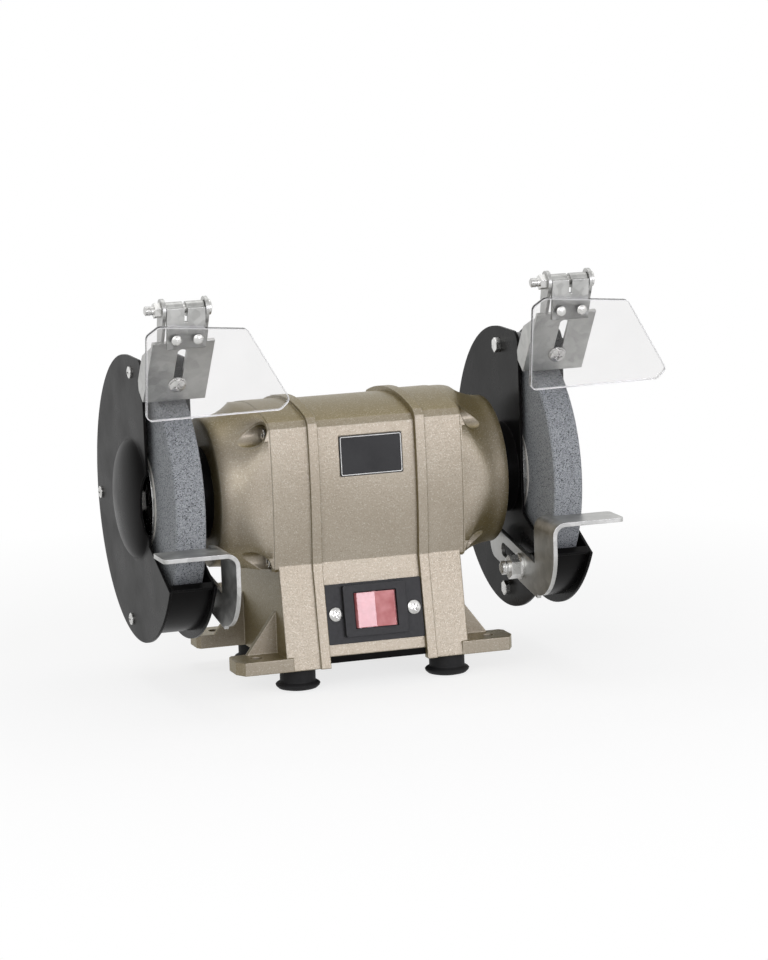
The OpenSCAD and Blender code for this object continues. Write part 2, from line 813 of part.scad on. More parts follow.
module rocker() {
    color(red) at_pivot() rotate([0, 0, -rocker_tilt]) union() {
        translate([0, 0, -rocker_len / 2]) linear_extrude(height = rocker_len) intersection() {
            circle(r = rocker_r);
            polygon([
                [-rocker_r - 1, rocker_r * 0.3], [-rocker_r - 1, -rocker_r * 0.53],
                [0, -rocker_r * 0.32], [rocker_r + 1, -rocker_r * 0.53],
                [rocker_r + 1, rocker_r * 0.3]
            ]);
        }
        translate([0, 0, -rocker_len / 2 - 1.7]) cylinder(r = pivot_r, h = rocker_len + 3.4);
    }
}

module stator_core() {
    color(steel) about_spindle_half() difference() {
        circle(r = stator_r - seat_gap);
        circle(r = rotor_r + air_gap);
        for (a = [0 : 15 : 345]) {
            rotate(a) translate([rotor_r + 5.5, 0]) circle(r = 2.4);
            rotate(a) translate([rotor_r + 2.5, 0]) square([6, 1.4], center = true);
        }
    }
}

// Extrudes a flat shape about the spindle over the stator's length.
module about_spindle_half() {
    translate([-stator_half, 0, axis_h]) along_x() linear_extrude(height = 2 * stator_half)
        children();
}

module stator_windings() {
    color(copper) both_ends() about_spindle()
        translate([(rotor_r + stator_r) / 2, stator_half + winding_len / 2])
            round_rect(stator_r - rotor_r - 5, winding_len, 4);
}

module capacitor() {
    color(stone) union() {
        bar_x(cap_r, -cap_len / 2, cap_len / 2, 18, cover_top + cap_r + 1);
        translate([-10, 18 - cap_r, cover_top]) cube([20, 2 * cap_r, cap_r * 0.6]);
        for (sy = [-1, 1]) {
            translate([cap_len / 2 - 1, 18 + sy * 4 - 0.4, cover_top + cap_r - 2]) cube([8, 0.8, 6]);
        }
    }
}

module terminal_block() {
    color(champagne) difference() {
        translate([-15, -22, cover_top]) cube([30, 14, 16]);
        for (i = [-1, 0, 1]) {
            translate([i * 9, -15, cover_top + 8]) cylinder(r = 2.5, h = 10);
            translate([i * 9, -30, cover_top + 6]) rotate([-90, 0, 0]) cylinder(r = 2, h = 30);
        }
    }
}

module cable_gland() {
    color(black) on_rear() difference() {
        union() {
            translate([0, 0, -wall - 6]) cylinder(r = gland_r, h = wall + 8);
            hex(2 * gland_r + 5, 4);
            translate([0, 0, 4]) cylinder(r = gland_r + 1.6, h = 8);
            translate([0, 0, -wall - 4]) hex(2 * gland_r + 4, 3.4);
        }
        translate([0, 0, -wall - 7]) cylinder(r = gland_bore_r, h = wall + 20);
    }
}

module bearing_outer_rings() {
    ring_r = bearing_od / 2;
    seal_r = journal_r + 2.96;
    color(steel) both_ends() about_spindle() {
        translate([ring_r - 2.9, bearing_in]) square([2.9, bearing_w]);
        translate([seal_r, bearing_in + 0.3]) square([ring_r - seal_r, 0.8]);
        translate([seal_r, bearing_out - 1.1]) square([ring_r - seal_r, 0.8]);
    }
}

module bearing_inner_rings() {
    color(steel) both_ends() about_spindle()
        translate([journal_r + seat_gap, bearing_in]) square([2.9 - seat_gap, bearing_w]);
}

module bearing_balls() {
    ball_c = journal_r + 2.9 + (bearing_od / 2 - journal_r - 5.8) / 2;
    color(zinc) both_ends() for (i = [0 : ball_n - 1]) {
        translate([bearing_x, 0, axis_h]) rotate([i * 360 / ball_n, 0, 0])
            translate([0, ball_c, 0])
                sphere(r = (bearing_od / 2 - journal_r - 5.8) / 2 - running_gap);
    }
}

module shaft() {
    color(steel) union() {
        bar_x(shaft_core_r, -bearing_in + 1.5, bearing_in - 1.5, 0, axis_h);
        bar_x(journal_r, -shoulder_x, shoulder_x, 0, axis_h);
        bar_x(journal_r + 1.5, -bearing_in, bearing_in, 0, axis_h);
        about_spindle() {
            polygon([
                [0, -shaft_end], [tip_r - 1, -shaft_end], [tip_r, -shaft_end + 1],
                [tip_r, shaft_end - 1], [tip_r - 1, shaft_end], [0, shaft_end]
            ]);
        }
    }
}

module rotor_core() {
    color(steel) about_spindle_half() difference() {
        circle(r = rotor_r);
        circle(r = shaft_core_r + seat_gap);
    }
}

module inner_flanges() {
    color(zinc) both_ends() about_spindle() difference() {
        union() {
            translate([tip_r + 0.03, shoulder_x])
                square([flange_hub_r - tip_r - 0.03, flange_in + 1 - shoulder_x]);
            translate([tip_r + 0.03, flange_in])
                square([flange_r - tip_r - 0.03, inner_flange_t]);
        }
        translate([flange_hub_r + 4, wheel_in - blotter_t - 0.6])
            square([flange_r - flange_hub_r - 10, 2]);
    }
}

module outer_flanges() {
    color(zinc) both_ends() about_spindle() polygon([
        [tip_r + 0.03, wheel_out + blotter_t], [flange_hub_r + 4, wheel_out + blotter_t],
        [flange_hub_r + 4, wheel_out + blotter_t + 0.6],
        [flange_r - 6, wheel_out + blotter_t + 0.6], [flange_r - 6, wheel_out + blotter_t],
        [flange_r, wheel_out + blotter_t], [flange_r, flange_out - 1.8],
        [flange_r - 8, flange_out], [tip_r + 0.03, flange_out]
    ]);
}

module blotters() {
    color(paper) both_ends() about_spindle() {
        translate([tip_r + 0.03, wheel_in - blotter_t])
            square([blotter_r - tip_r - 0.03, blotter_t]);
        translate([tip_r + 0.03, wheel_out]) square([blotter_r - tip_r - 0.03, blotter_t]);
    }
}

module wheel() {
    color(stone) about_spindle() polygon([
        [tip_r + 0.03, wheel_in], [wheel_r - 0.8, wheel_in], [wheel_r, wheel_in + 0.8],
        [wheel_r, wheel_out - 0.8], [wheel_r - 0.8, wheel_out], [tip_r + 0.03, wheel_out]
    ]);
}

module left_wheel() {
    mirror([1, 0, 0]) wheel();
}

module right_wheel() {
    wheel();
}

module spindle_nuts() {
    color(zinc) both_ends() difference() {
        translate([flange_out, 0, axis_h]) rotate([0, 90, 0]) intersection() {
            hex(nut_af, nut_h);
            rotate_extrude() polygon([
                [0, 0], [nut_af * 0.53, 0], [nut_af * 0.6, 0.9], [nut_af * 0.6, nut_h - 0.9],
                [nut_af * 0.53, nut_h], [0, nut_h]
            ]);
        }
        bar_x(tip_r + 0.03, flange_out - 1, nut_out + 1, 0, axis_h);
    }
}

// Side outline of a guard about the spindle: Y and Z.
module guard_outline() {
    difference() {
        union() {
            circle(r = guard_r);
            translate([-mouth_y, 0]) {
                square([mouth_y, guard_r - top_round]);
                translate([top_round, 0]) square([mouth_y - top_round, guard_r]);
                translate([top_round, guard_r - top_round]) circle(r = top_round);
            }
        }
        polygon([
            [-200, 200], [-mouth_y, 200], [-mouth_y, -mouth_drop], [-lip_y, -lip_drop],
            [-lip_y - 25, -lip_drop - 2.5], [-200, -lip_drop - 2.5]
        ]);
    }
}

// The guard's three cover screws, as (Y, Z) about the spindle.
cover_spots = [for (a = [4.5, 191.2, 264.5]) [-sin(a), cos(a)] * cover_screw_r];
// The two bolts that join the rim to the guard's back.
bolt_spots = [[1.5, 75.2], [-3, -75.4]];

module guard_back() {
    color(black) difference() {
        union() {
            translate([guard_in, 0, axis_h]) along_x() linear_extrude(height = sheet_t)
                guard_outline();
            bar_x(collar_r, bell_x, guard_in + 0.5, 0, axis_h);
        }
        bar_x(collar_bore_r, bell_x - 1, back_out + 1, 0, axis_h);
        for (a = [90, 210, 330]) {
            translate([0, 0, axis_h]) rotate([a, 0, 0]) {
                bar_x(collar_thread_r + screw_gap, bell_x - 1, back_out + 1, collar_screw_r, 0);
                bar_x(4, bell_x - 6 + collar_screw_len, back_out + 1, collar_screw_r, 0);
            }
        }
        for (p = bolt_spots) {
            bar_x(2.5 + screw_gap, guard_in - 1, back_out + 1, p[0], axis_h + p[1]);
        }
        bar_x(clamp_bolt_r + screw_gap, guard_in - 1, back_out + 1, -clamp_y, clamp_z);
    }
}

module left_guard_back() {
    mirror([1, 0, 0]) guard_back();
}

module right_guard_back() {
    guard_back();
}

module collar_screws() {
    seat = bell_x - 6 + collar_screw_len;
    color(zinc) both_ends() for (a = [90, 210, 330]) {
        translate([0, 0, axis_h]) rotate([a, 0, 0]) translate([seat, collar_screw_r, 0])
            rotate([0, 90, 0]) cross_screw(collar_thread_r, collar_screw_len, 3.6, 2.4);
    }
}

// Rim strip, with its front tab, lower lip and inner screw tabs.
module guard_rim() {
    outer = rim_r + rim_t;
    color(black) difference() {
        union() {
            translate([back_out, 0, axis_h]) along_x()
                linear_extrude(height = cover_in - back_out) difference() {
                    circle(r = outer);
                    circle(r = rim_r);
                    polygon([
                        [0, 0], [-200 * sin(rim_top_angle), 200 * cos(rim_top_angle)],
                        [-300, 0], [-200 * sin(rim_low_angle), 200 * cos(rim_low_angle)]
                    ]);
                }
            translate([back_out + 0.2, 0, axis_h]) rotate([rim_top_angle, 0, 0])
                translate([0, 0, rim_r]) cube([cover_in - back_out - 0.4, 2, rim_tab_r - rim_r]);
            translate([back_out + 0.2, 0, axis_h]) rotate([rim_low_angle, 0, 0])
                translate([0, -1.6, rim_r]) cube([cover_in - back_out - 0.4, 1.6, 5]);
            for (p = cover_spots) {
                translate([cover_in - tab_t, 0, axis_h])
                    rotate([atan2(-p[0], p[1]), 0, 0])
                        translate([0, -6, cover_screw_r - 2.3]) cube([tab_t, 12, rim_r + 0.6 - cover_screw_r + 2.3]);
            }
            for (p = bolt_spots) {
                translate([back_out, 0, axis_h]) rotate([atan2(-p[0], p[1]), 0, 0])
                    translate([0, -7, norm(p) - 4.5]) cube([2.4, 14, rim_r + 0.6 - norm(p) + 4.5]);
            }
        }
        for (p = cover_spots) {
            bar_x(cover_thread_r + seat_gap, cover_in - tab_t - 1, cover_in + 1, p[0], axis_h + p[1]);
        }
        for (p = bolt_spots) {
            bar_x(2.5 + seat_gap, back_out - 1, back_out + 4, p[0], axis_h + p[1]);
        }
        translate([guard_c, 0, axis_h]) rotate([rim_top_angle, 0, 0])
            translate([0, 5, shield_screw_r]) rotate([90, 0, 0])
                cylinder(r = shield_thread_r + screw_gap, h = 10);
    }
}

module left_guard_rim() {
    mirror([1, 0, 0]) guard_rim();
}

module right_guard_rim() {
    guard_rim();
}

module guard_bolts() {
    color(zinc) both_ends() for (p = bolt_spots) {
        bar_x(2.5, guard_in - 0.5, back_out + 2.4, p[0], axis_h + p[1]);
        translate([guard_in - 3.4, p[0], axis_h + p[1]]) rotate([0, 90, 0]) hex(8, 3.4);
    }
}

// Dome profile (radius, distance along X) standing h above x0, with its edge rounded.
module dome_profile(r, x0, h, fillet) {
    translate([0, x0]) intersection() {
        square([r, h]);
        union() {
            square([r - fillet, h]);
            square([r, h - fillet]);
            translate([r - fillet, h - fillet]) circle(r = fillet);
        }
    }
}

module guard_cover() {
    color(black) difference() {
        union() {
            translate([cover_in, 0, axis_h]) along_x() linear_extrude(height = sheet_t)
                guard_outline();
            intersection() {
                about_spindle() dome_profile(dome_r, cover_in, sheet_t + dome_h, dome_round);
                translate([guard_in, -dome_cut_y, 0]) cube([60, 200, 260]);
            }
        }
        about_spindle() {
            translate([0, cover_in - 1]) square([dome_r - sheet_t, 1.01]);
            dome_profile(dome_r - sheet_t, cover_in, dome_h, dome_round - sheet_t);
        }
        for (p = cover_spots) {
            bar_x(cover_thread_r + screw_gap, cover_in - 1, guard_out + 1, p[0], axis_h + p[1]);
        }
    }
}

module left_guard_cover() {
    mirror([1, 0, 0]) guard_cover();
}

module right_guard_cover() {
    guard_cover();
}

module cover_screws() {
    color(zinc) both_ends() for (p = cover_spots) {
        translate([guard_out, p[0], axis_h + p[1]]) rotate([0, 90, 0])
            cross_screw(cover_thread_r, sheet_t + tab_t, 3.6, 2.2);
    }
}

// The leg's line: X runs rearward and up along it, from the clamp bolt.
module on_leg() {
    translate([-clamp_y, clamp_z]) rotate(leg_angle) children();
}

module tool_rest() {
    leg_rear = rest_out_travel + slot_r + 10;
    arm_rear = -table_y + 8;
    color(zinc) union() {
        translate([arm_in, 0, 0]) along_x() linear_extrude(height = rest_t) difference() {
            union() {
                translate([-rest_front_y, rest_z - 20])
                    square([rest_front_y + arm_rear, 20 - rest_bend_r]);
                intersection() {
                    translate([-rest_front_y + arm_round, rest_z - 18]) circle(r = arm_round);
                    translate([-rest_front_y, 0])
                        square([rest_front_y + arm_rear, rest_z - 18]);
                }
                on_leg() {
                    translate([-clamp_y + 14, -leg_w / 2])
                        square([leg_rear + clamp_y - 14, leg_w]);
                    translate([leg_rear, 0]) circle(r = leg_w / 2);
                }
            }
            on_leg() {
                translate([-rest_in_travel - 0.3, -slot_r])
                    square([rest_out_travel + rest_in_travel + 0.6, 2 * slot_r]);
                translate([-rest_in_travel - 0.3, 0]) circle(r = slot_r);
                translate([rest_out_travel + 0.3, 0]) circle(r = slot_r);
            }
        }
        translate([arm_in + rest_bend_r, arm_rear, rest_z - rest_bend_r])
            rotate([90, 0, 0]) linear_extrude(height = rest_front_y + arm_rear) difference() {
                intersection() {
                    circle(r = rest_bend_r);
                    translate([-rest_bend_r, 0]) square(rest_bend_r);
                }
                circle(r = rest_bend_r - rest_t);
            }
        translate([0, 0, rest_z - rest_t]) linear_extrude(height = rest_t) union() {
            translate([arm_in + rest_bend_r, -rest_front_y])
                square([1.5, rest_front_y + arm_rear]);
            translate([arm_in + rest_bend_r, -rest_front_y])
                square([rest_out_x - arm_in - rest_bend_r - 4, rest_front_y - table_y]);
            translate([(rest_out_x - 8 + rest_out_x) / 2, -(rest_front_y + table_y) / 2])
                round_rect(8, rest_front_y - table_y, 3);
        }
    }
}

module left_tool_rest() {
    mirror([1, 0, 0]) tool_rest();
}

module right_tool_rest() {
    tool_rest();
}

module rest_spacers() {
    color(zinc) both_ends() difference() {
        bar_x(7.5, arm_out + slide_gap, guard_in, -clamp_y, clamp_z);
        bar_x(clamp_bolt_r + seat_gap, arm_out - 1, guard_in + 1, -clamp_y, clamp_z);
    }
}

module rest_bolts() {
    color(zinc) both_ends() {
        bar_x(clamp_bolt_r, arm_in - 9, back_out + 1, -clamp_y, clamp_z);
        translate([back_out, -clamp_y, clamp_z]) rotate([0, 90, 0]) hex(13, 2.5);
    }
}

module rest_nuts() {
    color(zinc) both_ends() difference() {
        union() {
            bar_x(8, arm_in - slide_gap - 1.6, arm_in - slide_gap, -clamp_y, clamp_z);
            translate([arm_in - slide_gap - 7.8, -clamp_y, clamp_z]) rotate([0, 90, 0])
                hex(13, 6.3);
        }
        bar_x(clamp_bolt_r + seat_gap, arm_in - 12, arm_in + 1, -clamp_y, clamp_z);
    }
}

// The bracket's frame at one guard: Z runs outward along the web, -Y out of its front.
module at_bracket(side) {
    translate([side * guard_c, 0, axis_h]) rotate([rim_top_angle, 0, 0]) children();
}

// The hinge's frame at one guard, Z up the shield and -Y out of its front.
module at_hinge(side) {
    translate([side * guard_c, -hinge_y, hinge_z]) rotate([shield_tilt, 0, 0]) children();
}

module shield_screws() {
    front = bracket_t + 2 * slide_gap;
    color(zinc) for (side = [-1, 1]) {
        at_bracket(side) translate([0, 0, shield_screw_r]) {
            translate([0, -front - 1, 0]) rotate([90, 0, 0])
                cross_screw(shield_thread_r, 4 + front + 3.4, 4.8, 2.6);
            difference() {
                translate([0, -front, 0]) rotate([90, 0, 0]) cylinder(r = 5.4, h = 1);
                translate([0, -front + 1, 0]) rotate([90, 0, 0])
                    cylinder(r = shield_thread_r - 0.5, h = 3);
            }
            difference() {
                translate([0, 5.4, 0]) rotate([90, 0, 0]) hex(8, 3.4);
                translate([0, 6, 0]) rotate([90, 0, 0])
                    cylinder(r = shield_thread_r - 0.5, h = 5);
            }
        }
    }
}

module bracket(side) {
    ey = -hinge_y * cos(rim_top_angle) + hinge_up * sin(rim_top_angle);
    ez = hinge_y * sin(rim_top_angle) + hinge_up * cos(rim_top_angle);
    half = bracket_half_w;
    low = shield_screw_r - shield_thread_r - slot_gap - bracket_spare;
    high = shield_screw_r + shield_thread_r + slot_gap + bracket_travel + 20;
    sr = shield_thread_r + slot_gap;
    color(zinc) at_bracket(side) difference() {
        union() {
            translate([-half, -bracket_t - slide_gap, web_r0])
                cube([2 * half, bracket_t, web_r1 - web_r0]);
            for (sx = [-1, 1]) {
                translate([sx * (half - bracket_t / 2) - bracket_t / 2, -bracket_t - slide_gap, 0])
                    along_x() linear_extrude(height = bracket_t) polygon([
                        [0, web_r0], [flange_depth - 4, web_r0], [flange_depth, web_r0 + 4],
                        [flange_depth, web_r1 - 22], [bracket_t, web_r1 - 4], [0, web_r1 - 4]
                    ]);
                translate([sx * (ear_x + bracket_t / 2) - bracket_t / 2, 0, 0])
                    along_x() linear_extrude(height = bracket_t) union() {
                        polygon([
                            [-bracket_t - slide_gap, web_r1 - 12], [2, web_r1 - 12],
                            [ey + ear_r, ez], [ey - ear_r, ez], [-bracket_t - slide_gap, web_r1]
                        ]);
                        translate([ey, ez]) circle(r = ear_r);
                    }
            }
        }
        translate([0, 5, 0]) rotate([90, 0, 0]) linear_extrude(height = 12) union() {
            translate([-sr, low + sr]) square([2 * sr, high - low - 2 * sr]);
            translate([0, low + sr]) circle(r = sr);
            translate([0, high - sr]) circle(r = sr);
        }
        bar_x(hinge_r + seat_gap, -half, half, ey, ez);
    }
}

module left_bracket() {
    bracket(-1);
}

module right_bracket() {
    bracket(1);
}

module hinge_bolt(side) {
    out = ear_x + bracket_t;
    color(zinc) at_hinge(side) difference() {
        union() {
            bar_x(hinge_r, -out - 5.6, out + 1, 0, 0);
            translate([-out - 4, 0, 0]) rotate([0, 90, 0]) hex(8, 4);
            translate([out, 0, 0]) rotate([0, 90, 0]) intersection() {
                cylinder(r = 4.6, h = 3);
                translate([0, 0, 3 - 9.2]) sphere(r = 9.2);
            }
        }
        translate([out + 1.6, -3, -0.5]) cube([3, 6, 1]);
    }
}

module left_hinge_bolt() {
    hinge_bolt(-1);
}

module right_hinge_bolt() {
    hinge_bolt(1);
}

module strap(side) {
    half = ear_x - 0.4;
    color(zinc) at_hinge(side) difference() {
        union() {
            bar_x(knuckle_r, -half, -1, 0, 0);
            bar_x(knuckle_r, 1, half, 0, 0);
            translate([-half, -shield_off, -leaf_len])
                cube([half - 1, shield_off - knuckle_r + 0.5, leaf_len + 2]);
            translate([1, -shield_off, -leaf_len])
                cube([half - 1, shield_off - knuckle_r + 0.5, leaf_len + 2]);
            translate([-half, -shield_off, -leaf_len])
                cube([2 * half, shield_off - knuckle_r + 0.5, leaf_len - knuckle_r - 2]);
        }
        bar_x(hinge_r + running_gap, -half - 1, half + 1, 0, 0);
        for (sx = [-1, 1]) {
            translate([sx * rivet_x, 1, -rivet_drop]) rotate([90, 0, 0])
                cylinder(r = rivet_r + seat_gap, h = shield_off + 2);
        }
    }
}

module left_strap() {
    strap(-1);
}

module right_strap() {
    strap(1);
}

module rivets(side) {
    back = -knuckle_r + 0.5;
    front = -shield_off - shield_t;
    color(zinc) at_hinge(side) for (sx = [-1, 1]) {
        translate([sx * rivet_x, back, -rivet_drop]) rotate([90, 0, 0])
            cylinder(r = rivet_r, h = back - front);
        translate([sx * rivet_x, front, -rivet_drop]) rotate([90, 0, 0]) intersection() {
            cylinder(r = rivet_r * 1.9, h = 1.4);
            translate([0, 0, 1.4 - rivet_r * 3]) sphere(r = rivet_r * 3);
        }
        translate([sx * rivet_x, back + 0.9, -rivet_drop]) rotate([90, 0, 0])
            cylinder(r = rivet_r * 1.6, h = 0.9);
    }
}

module left_rivets() {
    rivets(-1);
}

module right_rivets() {
    rivets(1);
}

module shield(side) {
    color(clear) at_hinge(side) difference() {
        translate([0, -shield_off, 0]) rotate([90, 0, 0]) linear_extrude(height = shield_t)
            rounded([
                [-24, -64.2], [57, -63.4], [63, -57.6], [36, -12.3], [-17, -7.4], [-24.4, -12.7]
            ], shield_round);
        for (sx = [-1, 1]) {
            translate([sx * rivet_x, 1, -rivet_drop]) rotate([90, 0, 0])
                cylinder(r = rivet_r + seat_gap, h = 20);
        }
    }
}

module left_shield() {
    shield(-1);
}

module right_shield() {
    shield(1);
}

centre_housing();
left_end_housing();
right_end_housing();
housing_screws();
base_cover();
base_screws();
rubber_feet();
foot_screws();
nameplate();
switch_plate();
switch_screws();
switch_bezel();
rocker();
stator_core();
stator_windings();
capacitor();
terminal_block();
cable_gland();
bearing_outer_rings();
bearing_inner_rings();
bearing_balls();
shaft();
rotor_core();
inner_flanges();
outer_flanges();
blotters();
left_wheel();
right_wheel();
spindle_nuts();
left_guard_back();
right_guard_back();
collar_screws();
left_guard_rim();
right_guard_rim();
guard_bolts();
left_guard_cover();
right_guard_cover();
cover_screws();
left_tool_rest();
right_tool_rest();
rest_spacers();
rest_bolts();
rest_nuts();
shield_screws();
left_bracket();
right_bracket();
left_hinge_bolt();
right_hinge_bolt();
left_strap();
right_strap();
left_rivets();
right_rivets();
left_shield();
right_shield();
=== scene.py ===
"""Bench grinder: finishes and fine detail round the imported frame."""

import json
import math

import bpy
from mathutils import Matrix, Vector


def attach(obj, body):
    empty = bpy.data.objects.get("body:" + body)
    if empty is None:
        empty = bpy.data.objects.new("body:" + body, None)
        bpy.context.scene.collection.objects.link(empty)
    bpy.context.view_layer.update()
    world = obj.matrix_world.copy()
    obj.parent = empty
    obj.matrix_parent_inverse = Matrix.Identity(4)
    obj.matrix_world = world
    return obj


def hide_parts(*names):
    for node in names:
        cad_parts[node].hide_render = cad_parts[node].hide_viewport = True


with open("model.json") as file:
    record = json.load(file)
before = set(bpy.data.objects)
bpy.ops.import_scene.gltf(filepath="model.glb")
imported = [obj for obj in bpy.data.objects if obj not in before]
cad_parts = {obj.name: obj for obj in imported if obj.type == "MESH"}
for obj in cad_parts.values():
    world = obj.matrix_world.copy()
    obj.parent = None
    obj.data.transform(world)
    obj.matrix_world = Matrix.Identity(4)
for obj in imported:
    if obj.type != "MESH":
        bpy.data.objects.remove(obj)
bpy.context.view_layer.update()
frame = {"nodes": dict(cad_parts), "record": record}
NODES = frame["nodes"]

MM = 0.001
AXIS_Z = 0.1155
COVER_R = 86.49 * MM
COVER_T = 1.6 * MM


# ---------------------------------------------------------------- node tools


def new_material(name):
    """A bare material and its Principled shader, ready for links."""
    mat = bpy.data.materials.new(name)
    mat.use_nodes = True
    tree = mat.node_tree
    tree.nodes.clear()
    out = tree.nodes.new("ShaderNodeOutputMaterial")
    shader = tree.nodes.new("ShaderNodeBsdfPrincipled")
    tree.links.new(shader.outputs["BSDF"], out.inputs["Surface"])
    return mat, tree, shader


def math_node(tree, operation, a, b=None):
    """A Math node; a and b are sockets or numbers."""
    node = tree.nodes.new("ShaderNodeMath")
    node.operation = operation
    for i, value in enumerate((a, b)):
        if value is None:
            continue
        if isinstance(value, (int, float)):
            node.inputs[i].default_value = value
        else:
            tree.links.new(value, node.inputs[i])
    return node.outputs[0]


def ramp(tree, source, low, high, out_low=0.0, out_high=1.0):
    """Maps source from low..high to out_low..out_high, clamped."""
    node = tree.nodes.new("ShaderNodeMapRange")
    tree.links.new(source, node.inputs["Value"])
    node.inputs["From Min"].default_value = low
    node.inputs["From Max"].default_value = high
    node.inputs["To Min"].default_value = out_low
    node.inputs["To Max"].default_value = out_high
    return node.outputs["Result"]


def mix_colour(tree, factor, a, b):
    """A colour mix; factor, a and b are sockets, numbers or colours."""
    node = tree.nodes.new("ShaderNodeMix")
    node.data_type = "RGBA"
    for socket, value in ((node.inputs[0], factor), (node.inputs[6], a), (node.inputs[7], b)):
        if isinstance(value, bpy.types.NodeSocket):
            tree.links.new(value, socket)
        elif isinstance(value, (int, float)):
            socket.default_value = value
        else:
            socket.default_value = (*value, 1.0)
    return node.outputs[2]


def new_group(name, inputs, outputs):
    """A shader node group with named inputs (name, default) and outputs (name, type)."""
    group = bpy.data.node_groups.new(name, "ShaderNodeTree")
    for label, default in inputs:
        socket = group.interface.new_socket(label, in_out="INPUT", socket_type="NodeSocketFloat")
        socket.default_value = default
    for label, kind in outputs:
        group.interface.new_socket(label, in_out="OUTPUT", socket_type=kind)
    source = group.nodes.new("NodeGroupInput")
    sink = group.nodes.new("NodeGroupOutput")
    return group, source.outputs, sink.inputs


def use_group(tree, group, **values):
    node = tree.nodes.new("ShaderNodeGroup")
    node.node_tree = group
    for key, value in values.items():
        node.inputs[key.replace("_", " ")].default_value = value
    return node.outputs


def noise(tree, coords, scale, detail=2.0, rough=0.5):
    node = tree.nodes.new("ShaderNodeTexNoise")
    tree.links.new(coords, node.inputs["Vector"])
    if isinstance(scale, (int, float)):
        node.inputs["Scale"].default_value = scale
    else:
        tree.links.new(scale, node.inputs["Scale"])
    node.inputs["Detail"].default_value = detail
    node.inputs["Roughness"].default_value = rough
    return node.outputs["Fac"]


def object_coords(tree):
    return tree.nodes.new("ShaderNodeTexCoord").outputs["Object"]


# ---------------------------------------------------------------- shared effects


def make_edge_group():
    """Mask of worn or rounded edges, which the finishes paint lighter as wear and as a painted edge highlight, and
    the normal rounded over them.
    """
    group, given, result = new_group(
        "edge wear and highlight",
        [("Radius", 0.0006), ("Break Scale", 400.0)],
        [("Mask", "NodeSocketFloat"), ("Normal", "NodeSocketVector")],
    )
    bevel = group.nodes.new("ShaderNodeBevel")
    bevel.samples = 6
    group.links.new(given["Radius"], bevel.inputs["Radius"])
    geometry = group.nodes.new("ShaderNodeNewGeometry")
    dot = group.nodes.new("ShaderNodeVectorMath")
    dot.operation = "DOT_PRODUCT"
    group.links.new(bevel.outputs["Normal"], dot.inputs[0])
    group.links.new(geometry.outputs["Normal"], dot.inputs[1])
    edge = ramp(group, dot.outputs["Value"], 0.995, 0.86)
    broken = noise(group, object_coords(group), given["Break Scale"], 3.0, 0.6)
    group.links.new(
        math_node(group, "MULTIPLY", edge, ramp(group, broken, 0.35, 0.62)), result["Mask"]
    )
    group.links.new(bevel.outputs["Normal"], result["Normal"])
    return group


def make_grain_group():
    """Fine and coarse unevenness of a surface, from 0 to 1."""
    group, given, result = new_group(
        "grain",
        [("Fine", 900.0), ("Coarse", 60.0), ("Coarse Share", 0.3)],
        [("Height", "NodeSocketFloat"), ("Cloud", "NodeSocketFloat")],
    )
    coords = object_coords(group)
    fine = noise(group, coords, given["Fine"], 2.0, 0.55)
    coarse = noise(group, coords, given["Coarse"], 3.0, 0.5)
    share = math_node(group, "MULTIPLY", coarse, given["Coarse Share"])
    group.links.new(math_node(group, "ADD", fine, share), result["Height"])
    group.links.new(coarse, result["Cloud"])
    return group


def make_speckle_group():
    """Small cells, each with its own value, and how near their borders are."""
    group, given, result = new_group(
        "speckle",
        [("Scale", 700.0), ("Spread", 1.0)],
        [("Value", "NodeSocketFloat"), ("Depth", "NodeSocketFloat")],
    )
    coords = object_coords(group)
    cells = group.nodes.new("ShaderNodeTexVoronoi")
    group.links.new(coords, cells.inputs["Vector"])
    group.links.new(given["Scale"], cells.inputs["Scale"])
    group.links.new(given["Spread"], cells.inputs["Randomness"])
    split = group.nodes.new("ShaderNodeSeparateColor")
    group.links.new(cells.outputs["Color"], split.inputs["Color"])
    group.links.new(split.outputs["Red"], result["Value"])
    group.links.new(cells.outputs["Distance"], result["Depth"])
    return group


EDGE = make_edge_group()
GRAIN = make_grain_group()
SPECKLE = make_speckle_group()


def bump(tree, height, normal, strength, distance):
    node = tree.nodes.new("ShaderNodeBump")
    node.inputs["Strength"].default_value = strength
    node.inputs["Distance"].default_value = distance
    tree.links.new(height, node.inputs["Height"])
    if normal is not None:
        tree.links.new(normal, node.inputs["Normal"])
    return node.outputs["Normal"]


# ---------------------------------------------------------------- finishes


def facing(tree, normal):
    """0 where a surface looks straight out, 1 where it is seen edge-on."""
    node = tree.nodes.new("ShaderNodeLayerWeight")
    node.inputs["Blend"].default_value = 0.5
    tree.links.new(normal, node.inputs["Normal"])
    return node.outputs["Facing"]


def bell_softness(tree):
    """Rounding radius for the housing: wide over the bells, narrow at their pockets and elsewhere."""
    place = tree.nodes.new("ShaderNodeSeparateXYZ")
    tree.links.new(object_coords(tree), place.inputs["Vector"])
    out = math_node(tree, "ABSOLUTE", place.outputs["X"])
    across = math_node(tree, "SUBTRACT", math_node(tree, "ABSOLUTE", place.outputs["Y"]), 0.039)
    rise = math_node(tree, "ABSOLUTE", math_node(tree, "SUBTRACT", place.outputs["Z"], AXIS_Z))
    above = math_node(tree, "SUBTRACT", rise, 0.038)
    apart = math_node(
        tree, "ADD", math_node(tree, "MULTIPLY", across, across), math_node(tree, "MULTIPLY", above, above)
    )
    wide = math_node(tree, "GREATER_THAN", out, 0.0605)
    clear = math_node(tree, "GREATER_THAN", apart, 0.0080 ** 2)
    high = math_node(tree, "GREATER_THAN", place.outputs["Z"], 0.0712)
    mask = math_node(tree, "MULTIPLY", wide, math_node(tree, "MULTIPLY", clear, high))
    return ramp(tree, mask, 0.0, 1.0, 0.0009, 0.0130)


